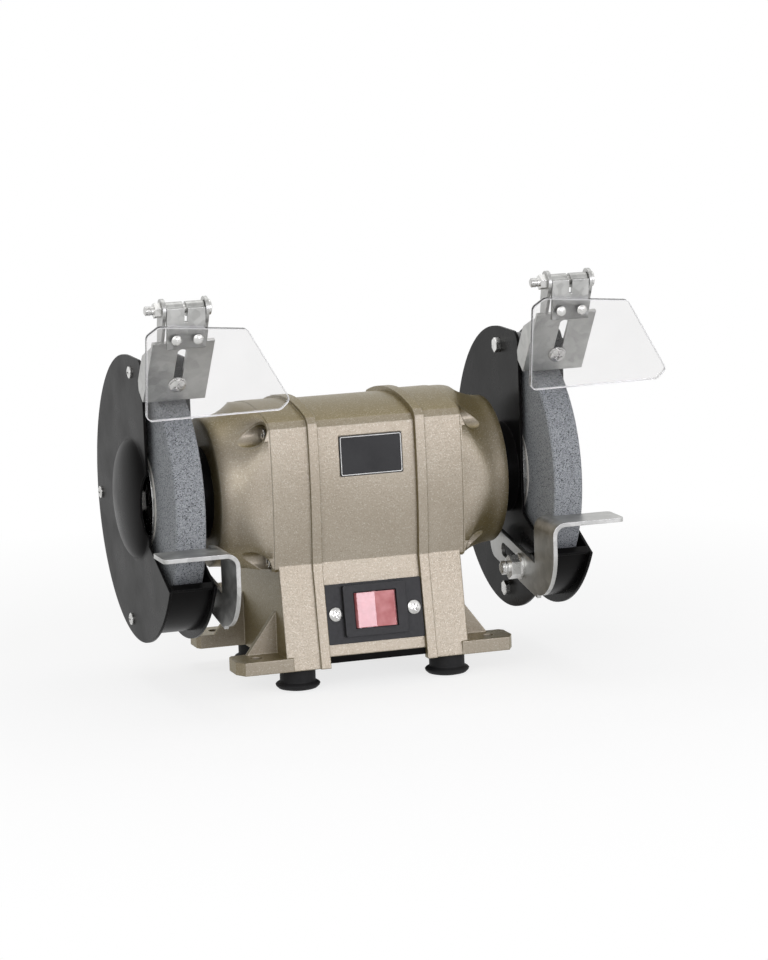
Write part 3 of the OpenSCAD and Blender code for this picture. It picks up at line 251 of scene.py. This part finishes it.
def housing_paint():
    """Champagne hammered paint flaked with metal, with painted reflection and shade: pale where it faces the camera,
    olive where it turns away.
    """
    mat, tree, shader = new_material("champagne hammered paint")
    grain = use_group(tree, GRAIN, Fine=780.0, Coarse=26.0, Coarse_Share=0.25)
    flake = use_group(tree, SPECKLE, Scale=2100.0)
    edge = use_group(tree, EDGE, Radius=0.0009, Break_Scale=260.0)
    soft = tree.nodes.new("ShaderNodeBevel")
    soft.samples = 8
    tree.links.new(bell_softness(tree), soft.inputs["Radius"])
    cloud = ramp(tree, grain["Cloud"], 0.3, 0.7)
    # Painted reflection and shade: the pale colour shows where the surface faces the camera, the olive one where it
    # turns away.
    pale = mix_colour(tree, cloud, (0.335, 0.290, 0.225), (0.370, 0.325, 0.258))
    olive_painted_shade = mix_colour(tree, cloud, (0.205, 0.160, 0.070), (0.240, 0.190, 0.092))
    base = mix_colour(tree, ramp(tree, facing(tree, soft.outputs["Normal"]), 0.09, 0.52), pale, olive_painted_shade)
    flaked = mix_colour(tree, ramp(tree, flake["Value"], 0.84, 0.98, 0.0, 0.28), base, (0.72, 0.69, 0.60))
    dark = mix_colour(tree, ramp(tree, flake["Value"], 0.14, 0.02, 0.0, 0.30), flaked, (0.15, 0.12, 0.07))
    # Lighter edges: partly worn paint, partly a painted edge highlight.
    wear_and_highlight = mix_colour(tree, math_node(tree, "MULTIPLY", edge["Mask"], 0.35), dark, (0.58, 0.55, 0.46))
    tree.links.new(wear_and_highlight, shader.inputs["Base Color"])
    shader.inputs["Metallic"].default_value = 0.45
    tree.links.new(ramp(tree, grain["Height"], 0.3, 0.9, 0.30, 0.44), shader.inputs["Roughness"])
    shader.inputs["IOR"].default_value = 1.35
    tree.links.new(bump(tree, grain["Height"], soft.outputs["Normal"], 0.30, 0.0004), shader.inputs["Normal"])
    return mat


def black_paint():
    """Black stove enamel over pressed sheet, with the faint orange peel of spray."""
    mat, tree, shader = new_material("black stove enamel")
    grain = use_group(tree, GRAIN, Fine=420.0, Coarse=40.0, Coarse_Share=0.6)
    edge = use_group(tree, EDGE, Radius=0.0007, Break_Scale=220.0)
    base = mix_colour(tree, ramp(tree, grain["Cloud"], 0.35, 0.7), (0.0045, 0.0042, 0.0042), (0.0085, 0.0080, 0.0080))
    # Grey edges: partly worn enamel, partly a painted edge highlight.
    wear_and_highlight = mix_colour(tree, math_node(tree, "MULTIPLY", edge["Mask"], 0.30), base, (0.11, 0.11, 0.11))
    tree.links.new(wear_and_highlight, shader.inputs["Base Color"])
    tree.links.new(ramp(tree, grain["Cloud"], 0.3, 0.75, 0.25, 0.37), shader.inputs["Roughness"])
    shader.inputs["IOR"].default_value = 1.12
    tree.links.new(bump(tree, grain["Height"], edge["Normal"], 0.10, 0.0003), shader.inputs["Normal"])
    return mat


def zinc_plate(name, low, high, roughness, fine, strength):
    """Zinc plating with its cloudy grain."""
    mat, tree, shader = new_material(name)
    grain = use_group(tree, GRAIN, Fine=fine, Coarse=75.0, Coarse_Share=0.5)
    cells = use_group(tree, SPECKLE, Scale=210.0)
    edge = use_group(tree, EDGE, Radius=0.0005, Break_Scale=500.0)
    cloud = math_node(tree, "ADD", math_node(tree, "MULTIPLY", cells["Value"], 0.35), grain["Cloud"])
    base = mix_colour(tree, ramp(tree, cloud, 0.35, 0.95), low, high)
    # Near-white edges: partly worn plating, partly a painted edge highlight.
    wear_and_highlight = mix_colour(tree, math_node(tree, "MULTIPLY", edge["Mask"], 0.6), base, (0.92, 0.92, 0.93))
    tree.links.new(wear_and_highlight, shader.inputs["Base Color"])
    shader.inputs["Metallic"].default_value = 1.0
    tree.links.new(ramp(tree, cloud, 0.3, 1.0, roughness, roughness + 0.12), shader.inputs["Roughness"])
    tree.links.new(bump(tree, grain["Height"], edge["Normal"], strength, 0.0002), shader.inputs["Normal"])
    return mat


def grinding_stone():
    """Grey vitrified abrasive: packed grains of mixed grey with open pores."""
    mat, tree, shader = new_material("grey vitrified abrasive")
    grit = use_group(tree, SPECKLE, Scale=1900.0)
    small = use_group(tree, SPECKLE, Scale=3100.0)
    grain = use_group(tree, GRAIN, Fine=1500.0, Coarse=50.0, Coarse_Share=0.4)
    tone = mix_colour(tree, ramp(tree, grit["Value"], 0.0, 1.0), (0.155, 0.164, 0.178), (0.360, 0.376, 0.392))
    light = mix_colour(tree, ramp(tree, small["Value"], 0.78, 0.94), tone, (0.46, 0.48, 0.50))
    pores = mix_colour(tree, ramp(tree, grit["Value"], 0.14, 0.06), light, (0.060, 0.064, 0.070))
    tree.links.new(pores, shader.inputs["Base Color"])
    tree.links.new(ramp(tree, small["Value"], 0.7, 1.0, 0.85, 0.5), shader.inputs["Roughness"])
    height = math_node(tree, "ADD", grit["Value"], math_node(tree, "MULTIPLY", grain["Height"], 0.5))
    tree.links.new(bump(tree, height, None, 0.45, 0.0003), shader.inputs["Normal"])
    return mat


def moulded(name, colour, roughness, speck=0.0, fine=600.0, strength=0.12):
    """Moulded plastic or rubber with a fine spark-eroded grain."""
    mat, tree, shader = new_material(name)
    grain = use_group(tree, GRAIN, Fine=fine, Coarse=45.0, Coarse_Share=0.4)
    edge = use_group(tree, EDGE, Radius=0.0004, Break_Scale=300.0)
    lighter = tuple(min(1.0, c * 1.35 + 0.006) for c in colour)
    base = mix_colour(tree, ramp(tree, grain["Cloud"], 0.3, 0.7), colour, lighter)
    # Paler edges, weighted by speck: partly wear, partly a painted edge highlight.
    pale = tuple(min(1.0, c * 1.8 + 0.05) for c in colour)
    wear_and_highlight = mix_colour(tree, math_node(tree, "MULTIPLY", edge["Mask"], speck), base, pale)
    tree.links.new(wear_and_highlight, shader.inputs["Base Color"])
    tree.links.new(
        ramp(tree, grain["Height"], 0.3, 0.9, roughness - 0.05, roughness + 0.1), shader.inputs["Roughness"]
    )
    shader.inputs["IOR"].default_value = 1.3
    tree.links.new(bump(tree, grain["Height"], edge["Normal"], strength, 0.0002), shader.inputs["Normal"])
    return mat


def edge_glint_mask(tree, radius):
    """1 within radius of a sharp edge."""
    round_over = tree.nodes.new("ShaderNodeBevel")
    round_over.samples = 8
    round_over.inputs["Radius"].default_value = radius
    flat = tree.nodes.new("ShaderNodeNewGeometry")
    dot = tree.nodes.new("ShaderNodeVectorMath")
    dot.operation = "DOT_PRODUCT"
    tree.links.new(round_over.outputs["Normal"], dot.inputs[0])
    tree.links.new(flat.outputs["Normal"], dot.inputs[1])
    return ramp(tree, dot.outputs["Value"], 0.998, 0.93)


def clear_sheet():
    """Clear moulded sheet, faintly grey, with hairline scratches."""
    mat, tree, shader = new_material("clear moulded sheet")
    coords = object_coords(tree)
    stretch = tree.nodes.new("ShaderNodeMapping")
    stretch.inputs["Rotation"].default_value = (0.3, 0.2, 0.9)
    stretch.inputs["Scale"].default_value = (40.0, 900.0, 900.0)
    tree.links.new(coords, stretch.inputs["Vector"])
    hair = noise(tree, stretch.outputs["Vector"], 1.0, 2.0, 0.6)
    cloud = noise(tree, coords, 45.0, 2.0, 0.5)
    tint = mix_colour(tree, ramp(tree, cloud, 0.3, 0.7), (0.875, 0.87, 0.87), (0.90, 0.895, 0.895))
    tree.links.new(tint, shader.inputs["Base Color"])
    tree.links.new(ramp(tree, hair, 0.55, 0.8, 0.02, 0.10), shader.inputs["Roughness"])
    # Painted highlight: within 1.6 mm of its edges the sheet turns partly opaque and pale.
    rim = math_node(tree, "MULTIPLY", edge_glint_mask(tree, 0.0016), 0.62)
    tree.links.new(math_node(tree, "SUBTRACT", 1.0, rim), shader.inputs["Transmission Weight"])
    shader.inputs["IOR"].default_value = 1.45
    tree.links.new(bump(tree, hair, None, 0.03, 0.0001), shader.inputs["Normal"])
    return mat


def red_lens():
    """Red rocker moulding, cloudy where its lamp sits."""
    mat, tree, shader = new_material("red switch moulding")
    coords = object_coords(tree)
    cloud = noise(tree, coords, 150.0, 2.0, 0.5)
    base = mix_colour(tree, ramp(tree, cloud, 0.3, 0.7), (0.50, 0.12, 0.125), (0.68, 0.25, 0.26))
    tree.links.new(base, shader.inputs["Base Color"])
    tree.links.new(ramp(tree, cloud, 0.3, 0.7, 0.10, 0.2), shader.inputs["Roughness"])
    shader.inputs["Coat Weight"].default_value = 0.6
    shader.inputs["Coat Roughness"].default_value = 0.06
    edge = use_group(tree, EDGE, Radius=0.0006, Break_Scale=100.0)
    tree.links.new(bump(tree, cloud, edge["Normal"], 0.05, 0.0003), shader.inputs["Normal"])
    return mat


FINISH = {
    "housing_paint": housing_paint(),
    "black_paint": black_paint(),
    "zinc": zinc_plate("bright zinc", (0.46, 0.455, 0.44), (0.70, 0.695, 0.68), 0.20, 900.0, 0.08),
    "plated_sheet": zinc_plate("galvanised sheet", (0.33, 0.33, 0.32), (0.50, 0.50, 0.485), 0.32, 500.0, 0.10),
    "rubber": moulded("black rubber", (0.008, 0.008, 0.0085), 0.6, 0.3, 500.0, 0.2),
    "black_plastic": moulded("black moulding", (0.018, 0.018, 0.019), 0.36, 0.35),
    "grey_plastic": moulded("grey moulding", (0.34, 0.35, 0.35), 0.45, 0.2),
    "switch_red": red_lens(),
    "lamination": zinc_plate("stacked iron", (0.16, 0.16, 0.17), (0.28, 0.28, 0.29), 0.45, 1400.0, 0.3),
    "copper": zinc_plate("enamelled copper", (0.42, 0.16, 0.07), (0.62, 0.28, 0.14), 0.3, 1200.0, 0.3),
    "bearing_steel": zinc_plate("bearing steel", (0.55, 0.56, 0.58), (0.70, 0.71, 0.73), 0.12, 1500.0, 0.03),
    "shaft_steel": zinc_plate("turned steel", (0.42, 0.43, 0.45), (0.60, 0.61, 0.63), 0.25, 1300.0, 0.08),
    "blotter_paper": moulded("blotter card", (0.56, 0.545, 0.51), 0.8, 0.2, 1500.0, 0.3),
    "abrasive": grinding_stone(),
    "clear_sheet": clear_sheet(),
}

SLOTS = {s["node"]: s["material_slot"] for s in frame["record"]["subparts"]}


def finish_piece(obj, finish):
    """Gives the whole piece one finish."""
    obj.data.materials.clear()
    obj.data.materials.append(finish)


for name, node in NODES.items():
    finish_piece(node, FINISH[SLOTS[name]])
    node.data.polygons.foreach_set("material_index", [0] * len(node.data.polygons))


# ---------------------------------------------------------------- fine pieces


def deselect():
    """Clears the selection, so that the next operator meets only its own piece."""
    for obj in bpy.context.selected_objects:
        obj.select_set(False)


def keep(obj, name, body, slot):
    """Names a finished piece, gives it its finish and lets it ride on its body."""
    obj.name = name
    obj.data.name = name
    finish_piece(obj, FINISH[slot])
    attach(obj, body)


def put(obj, matrix):
    """Moves the mesh itself, so that the object stays at the origin."""
    obj.matrix_world = matrix
    bpy.ops.object.transform_apply(location=True, rotation=True, scale=True)


def threaded_end(name, place, aim, radius, pitch, turns, stud, body, slot):
    """The end of a bolt: a chamfered stud with a helical thread, from place along aim."""
    deselect()
    bpy.ops.mesh.primitive_cylinder_add(
        vertices=32, radius=radius, depth=stud, location=(0, 0, stud / 2)
    )
    core = bpy.context.active_object
    bpy.ops.object.transform_apply(location=True, rotation=True, scale=True)
    bpy.ops.object.mode_set(mode="EDIT")
    bpy.ops.mesh.select_all(action="DESELECT")
    bpy.ops.object.mode_set(mode="OBJECT")
    for edge in core.data.edges:
        edge.select = all(core.data.vertices[v].co.z > stud - 1e-6 for v in edge.vertices)
    bpy.ops.object.mode_set(mode="EDIT")
    bpy.ops.mesh.select_mode(type="EDGE")
    bpy.ops.mesh.bevel(offset=radius * 0.22, segments=1)
    bpy.ops.object.mode_set(mode="OBJECT")
    deselect()
    bpy.ops.mesh.primitive_circle_add(
        vertices=3, radius=pitch * 0.42, location=(radius, 0, pitch * 0.5),
        rotation=(math.pi / 2, math.pi / 2, 0),
    )
    ridge = bpy.context.active_object
    bpy.ops.object.transform_apply(location=True, rotation=True, scale=True)
    sweep = ridge.modifiers.new("sweep", "SCREW")
    sweep.angle = 2 * math.pi
    sweep.iterations = turns
    sweep.screw_offset = pitch
    sweep.steps = 24
    sweep.render_steps = 24
    sweep.use_merge_vertices = False
    bpy.ops.object.modifier_apply(modifier=sweep.name)
    bpy.ops.object.mode_set(mode="EDIT")
    bpy.ops.mesh.select_all(action="SELECT")
    bpy.ops.mesh.remove_doubles(threshold=1e-7)
    bpy.ops.mesh.fill_holes(sides=3)
    bpy.ops.mesh.select_all(action="SELECT")
    bpy.ops.mesh.normals_make_consistent(inside=False)
    bpy.ops.object.mode_set(mode="OBJECT")
    core.select_set(True)
    bpy.context.view_layer.objects.active = core
    bpy.ops.object.join()
    turn = Vector((0, 0, 1)).rotation_difference(Vector(aim)).to_matrix().to_4x4()
    put(core, Matrix.Translation(Vector(place)) @ turn)
    keep(core, name, body, slot)


def box_of(node):
    """Low and high corner of a node's box in the shared frame."""
    points = [NODES[node].matrix_world @ v.co for v in NODES[node].data.vertices]
    low = Vector([min(p[i] for p in points) for i in range(3)])
    high = Vector([max(p[i] for p in points) for i in range(3)])
    return low, high


def make_threads():
    """Thread turns on the hinge bolts and on the bolts that clamp the tool rests."""
    for side, sign in (("left", -1), ("right", 1)):
        low, high = box_of(side + "_hinge_bolt")
        middle = (low + high) / 2
        threaded_end(
            side + "_hinge_thread", (low.x - 0.05 * MM, middle.y, middle.z), (-1, 0, 0),
            2.45 * MM, 0.8 * MM, 4, 3.9 * MM, side + "_bracket", "zinc",
        )
        threaded_end(
            side + "_clamp_thread", (sign * 87.35 * MM, -44 * MM, 61 * MM), (-sign, 0, 0),
            3.95 * MM, 1.0 * MM, 3, 3.6 * MM, "motor", "zinc",
        )


def make_plate_rim():
    """Raised rim round the bare nameplate."""
    width, height = 38.2 * MM, 23.2 * MM
    deselect()
    bpy.ops.mesh.primitive_plane_add(size=width)
    rim = bpy.context.active_object
    bpy.ops.object.mode_set(mode="EDIT")
    bpy.ops.mesh.select_all(action="SELECT")
    bpy.ops.transform.resize(value=(1, height / width, 1))
    bpy.ops.mesh.bevel(offset=1.2 * MM, segments=5, affect="VERTICES")
    bpy.ops.mesh.select_mode(type="FACE")
    bpy.ops.mesh.select_all(action="SELECT")
    bpy.ops.mesh.inset(thickness=0.55 * MM)
    bpy.ops.mesh.delete(type="FACE")
    bpy.ops.mesh.select_all(action="SELECT")
    bpy.ops.mesh.extrude_region_move(TRANSFORM_OT_translate={"value": (0, 0, 0.35 * MM)})
    bpy.ops.mesh.select_all(action="SELECT")
    bpy.ops.mesh.normals_make_consistent(inside=False)
    bpy.ops.object.mode_set(mode="OBJECT")
    normal = plate_normal()
    turn = Matrix((Vector((1, 0, 0)), normal.cross(Vector((1, 0, 0))), normal)).transposed().to_4x4()
    put(rim, Matrix.Translation(plate_face(normal)) @ turn)
    keep(rim, "nameplate_rim", "motor", "plated_sheet")


def plate_normal():
    """Outward normal of the nameplate's largest face."""
    plate = NODES["nameplate"]
    total = Vector((0, 0, 0))
    for face in plate.data.polygons:
        if face.normal.y < -0.7:
            total += face.normal * face.area
    return total.normalized()


def plate_face(normal):
    """Middle of the nameplate's outer face."""
    plate = NODES["nameplate"]
    reach = max(v.co.dot(normal) for v in plate.data.vertices)
    front = [v.co for v in plate.data.vertices if v.co.dot(normal) > reach - 1e-5]
    return sum(front, Vector((0, 0, 0))) / len(front) - normal * 0.05 * MM


def choose(obj, kind, test):
    """Enters edit mode with only the faces or edges that pass the test selected."""
    bpy.ops.object.mode_set(mode="EDIT")
    bpy.ops.mesh.select_mode(type=kind)
    bpy.ops.mesh.select_all(action="DESELECT")
    bpy.ops.object.mode_set(mode="OBJECT")
    for part in obj.data.polygons if kind == "FACE" else obj.data.edges:
        part.select = test(part)
    bpy.ops.object.mode_set(mode="EDIT")


def combine(obj, tool, operation):
    """Applies a boolean of obj with tool and deletes the tool."""
    change = obj.modifiers.new("shape", "BOOLEAN")
    change.operation = operation
    change.object = tool
    bpy.context.view_layer.objects.active = obj
    bpy.ops.object.modifier_apply(modifier=change.name)
    deselect()
    tool.select_set(True)
    bpy.ops.object.delete()
    bpy.context.view_layer.objects.active = obj


def dome_rings():
    """Radius and rise of each ring of the hub dome: a small foot, then an elliptical cap."""
    cap_r, cap_rise, first, last, steps = 36.0, 8.85, 8.0, 84.0, 18
    rings = [(36.4 * MM, 0.25 * MM)]
    for step in range(steps + 1):
        turn = math.radians(first + (last - first) * step / steps)
        rings.append((cap_r * math.cos(turn) * MM, cap_rise * math.sin(turn) * MM))
    return rings


def raise_dome(cover, face_x, out):
    """Draws the dome out of the round face that lies at face_x."""
    choose(cover, "FACE", lambda f: len(f.vertices) > 4 and abs(f.center.x - face_x) < 1e-5)
    bpy.ops.mesh.inset(thickness=COVER_R - 38.2 * MM)
    bpy.ops.mesh.inset(thickness=1.0 * MM)
    radius, rise = 37.2 * MM, 0.0
    for next_radius, next_rise in dome_rings():
        bpy.ops.mesh.extrude_region_move(
            TRANSFORM_OT_translate={"value": (out * (next_rise - rise), 0, 0)}
        )
        share = next_radius / radius
        bpy.ops.transform.resize(value=(1, share, share), center_override=(face_x, 0, AXIS_Z))
        radius, rise = next_radius, next_rise
    bpy.ops.object.mode_set(mode="OBJECT")


def solid_at(add, **settings):
    """Adds a primitive at its size and place, with its turn and scale applied."""
    deselect()
    add(**settings)
    bpy.ops.object.transform_apply(location=True, rotation=True, scale=True)
    return bpy.context.active_object


def cover_corner(middle):
    """The block that squares the sheet's top corner, with its outer edge rounded."""
    corner = solid_at(
        bpy.ops.mesh.primitive_cube_add, size=1, location=(middle, -15.5 * MM, AXIS_Z + 73.25 * MM),
        scale=(COVER_T, 31 * MM, 26.5 * MM),
    )
    points = corner.data.vertices
    choose(corner, "EDGE", lambda e: all(
        points[v].co.y < -30 * MM and points[v].co.z > AXIS_Z + 80 * MM for v in e.vertices
    ))
    bpy.ops.mesh.bevel(offset=8 * MM, segments=8)
    bpy.ops.object.mode_set(mode="OBJECT")
    return corner


def cover_mouth(middle):
    """The block that opens the mouth, its lower side falling away to the front."""
    mouth = solid_at(
        bpy.ops.mesh.primitive_cube_add, size=1, location=(middle, -63 * MM, AXIS_Z + 38 * MM),
        scale=(40 * MM, 64 * MM, 124 * MM),
    )
    points = mouth.data.vertices
    choose(mouth, "EDGE", lambda e: all(
        points[v].co.y < -90 * MM and points[v].co.z < AXIS_Z for v in e.vertices
    ))
    bpy.ops.transform.translate(value=(0, 0, -30.4 * MM))
    bpy.ops.object.mode_set(mode="OBJECT")
    return mouth


def cover_hole(middle, angle):
    """The drill for a cover screw, angle degrees round the spindle from the top."""
    turn = math.radians(angle)
    return solid_at(
        bpy.ops.mesh.primitive_cylinder_add, vertices=24, radius=1.75 * MM, depth=6 * MM,
        rotation=(0, math.pi / 2, 0),
        location=(middle, -77.3 * MM * math.sin(turn), AXIS_Z + 77.3 * MM * math.cos(turn)),
    )


def make_cover(side, out):
    """Pressed outer cover of a guard: its round sheet, squared top corner, hub dome and mouth."""
    middle = out * 131.2 * MM
    cover = solid_at(
        bpy.ops.mesh.primitive_cylinder_add, vertices=128, radius=COVER_R, depth=COVER_T,
        location=(middle, 0, AXIS_Z), rotation=(0, math.pi / 2, 0),
    )
    raise_dome(cover, middle + out * COVER_T / 2, out)
    raise_dome(cover, middle - out * COVER_T / 2, out)
    combine(cover, cover_corner(middle), "UNION")
    combine(cover, cover_mouth(middle), "DIFFERENCE")
    for angle in (4.5, 191.2, 264.5):
        combine(cover, cover_hole(middle, angle), "DIFFERENCE")
    deselect()
    cover.select_set(True)
    bpy.ops.object.mode_set(mode="EDIT")
    bpy.ops.mesh.select_all(action="SELECT")
    bpy.ops.mesh.normals_make_consistent(inside=False)
    bpy.ops.object.mode_set(mode="OBJECT")
    bpy.ops.object.shade_smooth_by_angle(angle=math.radians(30))
    keep(cover, side + "_pressed_cover", "motor", SLOTS[side + "_guard_cover"])
    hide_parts(side + "_guard_cover")


make_threads()
make_plate_rim()
make_cover("left", -1)
make_cover("right", 1)


# ---------------------------------------------------------------- stage, light and camera


def make_stage():
    """Pale floor: white to the camera, with the shadow kept close round the object."""
    bpy.ops.mesh.primitive_plane_add(size=12.0, location=(0, 0, 0))
    floor = bpy.context.active_object
    floor.name = "floor"
    mat, tree, shader = new_material("pale floor")
    out = [n for n in tree.nodes if n.type == "OUTPUT_MATERIAL"][0]
    shader.inputs["Base Color"].default_value = (0.80, 0.80, 0.80, 1)
    shader.inputs["Roughness"].default_value = 1.0
    shader.inputs["Specular IOR Level"].default_value = 0.0
    reach = tree.nodes.new("ShaderNodeVectorMath")
    reach.operation = "LENGTH"
    tree.links.new(object_coords(tree), reach.inputs[0])
    near = ramp(tree, reach.outputs["Value"], 0.55, 0.25)
    catch = tree.nodes.new("ShaderNodeBsdfDiffuse")
    tree.links.new(mix_colour(tree, near, (0, 0, 0), (0.30, 0.30, 0.30)), catch.inputs["Color"])
    glow = tree.nodes.new("ShaderNodeEmission")
    tree.links.new(ramp(tree, near, 0.0, 1.0, 1.0, 0.76), glow.inputs["Strength"])
    shown = tree.nodes.new("ShaderNodeMixShader")
    both = tree.nodes.new("ShaderNodeAddShader")
    tree.links.new(catch.outputs["BSDF"], both.inputs[0])
    tree.links.new(glow.outputs["Emission"], both.inputs[1])
    tree.links.new(seen_rays(tree), shown.inputs["Fac"])
    tree.links.new(shader.outputs["BSDF"], shown.inputs[1])
    tree.links.new(both.outputs["Shader"], shown.inputs[2])
    tree.links.new(shown.outputs["Shader"], out.inputs["Surface"])
    finish_piece(floor, mat)


def seen_rays(tree):
    """1 for rays that show the background: camera, glossy and transmission rays."""
    path = tree.nodes.new("ShaderNodeLightPath")
    other = math_node(
        tree, "MAXIMUM", path.outputs["Is Glossy Ray"], path.outputs["Is Transmission Ray"]
    )
    return math_node(tree, "MAXIMUM", path.outputs["Is Camera Ray"], other)


def make_world():
    """White where it is seen, dimmer as a light."""
    world = bpy.data.worlds.new("studio")
    bpy.context.scene.world = world
    world.use_nodes = True
    tree = world.node_tree
    tree.nodes.clear()
    out = tree.nodes.new("ShaderNodeOutputWorld")
    dim = tree.nodes.new("ShaderNodeBackground")
    dim.inputs["Color"].default_value = (1, 1, 1, 1)
    dim.inputs["Strength"].default_value = 0.35
    white = tree.nodes.new("ShaderNodeBackground")
    white.inputs["Color"].default_value = (1, 1, 1, 1)
    white.inputs["Strength"].default_value = 1.0
    mix = tree.nodes.new("ShaderNodeMixShader")
    tree.links.new(seen_rays(tree), mix.inputs["Fac"])
    tree.links.new(dim.outputs["Background"], mix.inputs[1])
    tree.links.new(white.outputs["Background"], mix.inputs[2])
    tree.links.new(mix.outputs["Shader"], out.inputs["Surface"])


def area_light(name, place, aim, size, power):
    """A soft box at place, turned to aim."""
    light = bpy.data.lights.new(name, "AREA")
    light.shape = "RECTANGLE"
    light.size, light.size_y = size
    light.energy = power
    obj = bpy.data.objects.new(name, light)
    bpy.context.scene.collection.objects.link(obj)
    obj.location = place
    direction = Vector(aim) - Vector(place)
    obj.rotation_euler = direction.to_track_quat("-Z", "Y").to_euler()
    return obj


def make_lights():
    """Key from the left, a low strip in front, weak fill from the right and from above."""
    aim = (0.0, 0.0, 0.10)
    area_light("key", (-0.95, -1.45, 0.85), aim, (1.0, 1.0), 8.5)
    area_light("fill", (1.3, -1.2, 0.5), aim, (0.9, 1.2), 3.0)
    front = area_light("front", (0.45, -1.50, 0.34), aim, (0.8, 0.30), 5.4)
    front.data.color = (0.97, 0.96, 1.06)
    area_light("top", (0.0, 0.4, 1.6), aim, (1.4, 1.0), 5.0)


def make_camera():
    """Long-lens view from the front left, a little above the spindle."""
    turn, lift, roll = (math.radians(a) for a in (18.0, 9.5, -2.0))
    target = Vector((0.0256, 0.0, 0.1134))
    distance = 2.4794
    focal_pixels, image_height, film = 4070.0, 960.0, 36.0
    back = Vector((
        -math.sin(turn) * math.cos(lift), -math.cos(turn) * math.cos(lift), math.sin(lift),
    ))
    right = Vector((math.cos(turn), -math.sin(turn), 0.0))
    up = right.cross(-back)
    right2 = right * math.cos(roll) + up * math.sin(roll)
    up2 = up * math.cos(roll) - right * math.sin(roll)
    data = bpy.data.cameras.new("camera")
    data.sensor_fit = "VERTICAL"
    data.sensor_height = film
    data.lens = focal_pixels * film / image_height
    data.clip_end = 50.0
    camera = bpy.data.objects.new("camera", data)
    bpy.context.scene.collection.objects.link(camera)
    matrix = Matrix((right2, up2, back)).transposed().to_4x4()
    matrix.translation = target + back * distance
    camera.matrix_world = matrix
    bpy.context.scene.camera = camera


make_stage()
make_world()
make_lights()
make_camera()
bpy.context.scene.view_settings.view_transform = "Standard"
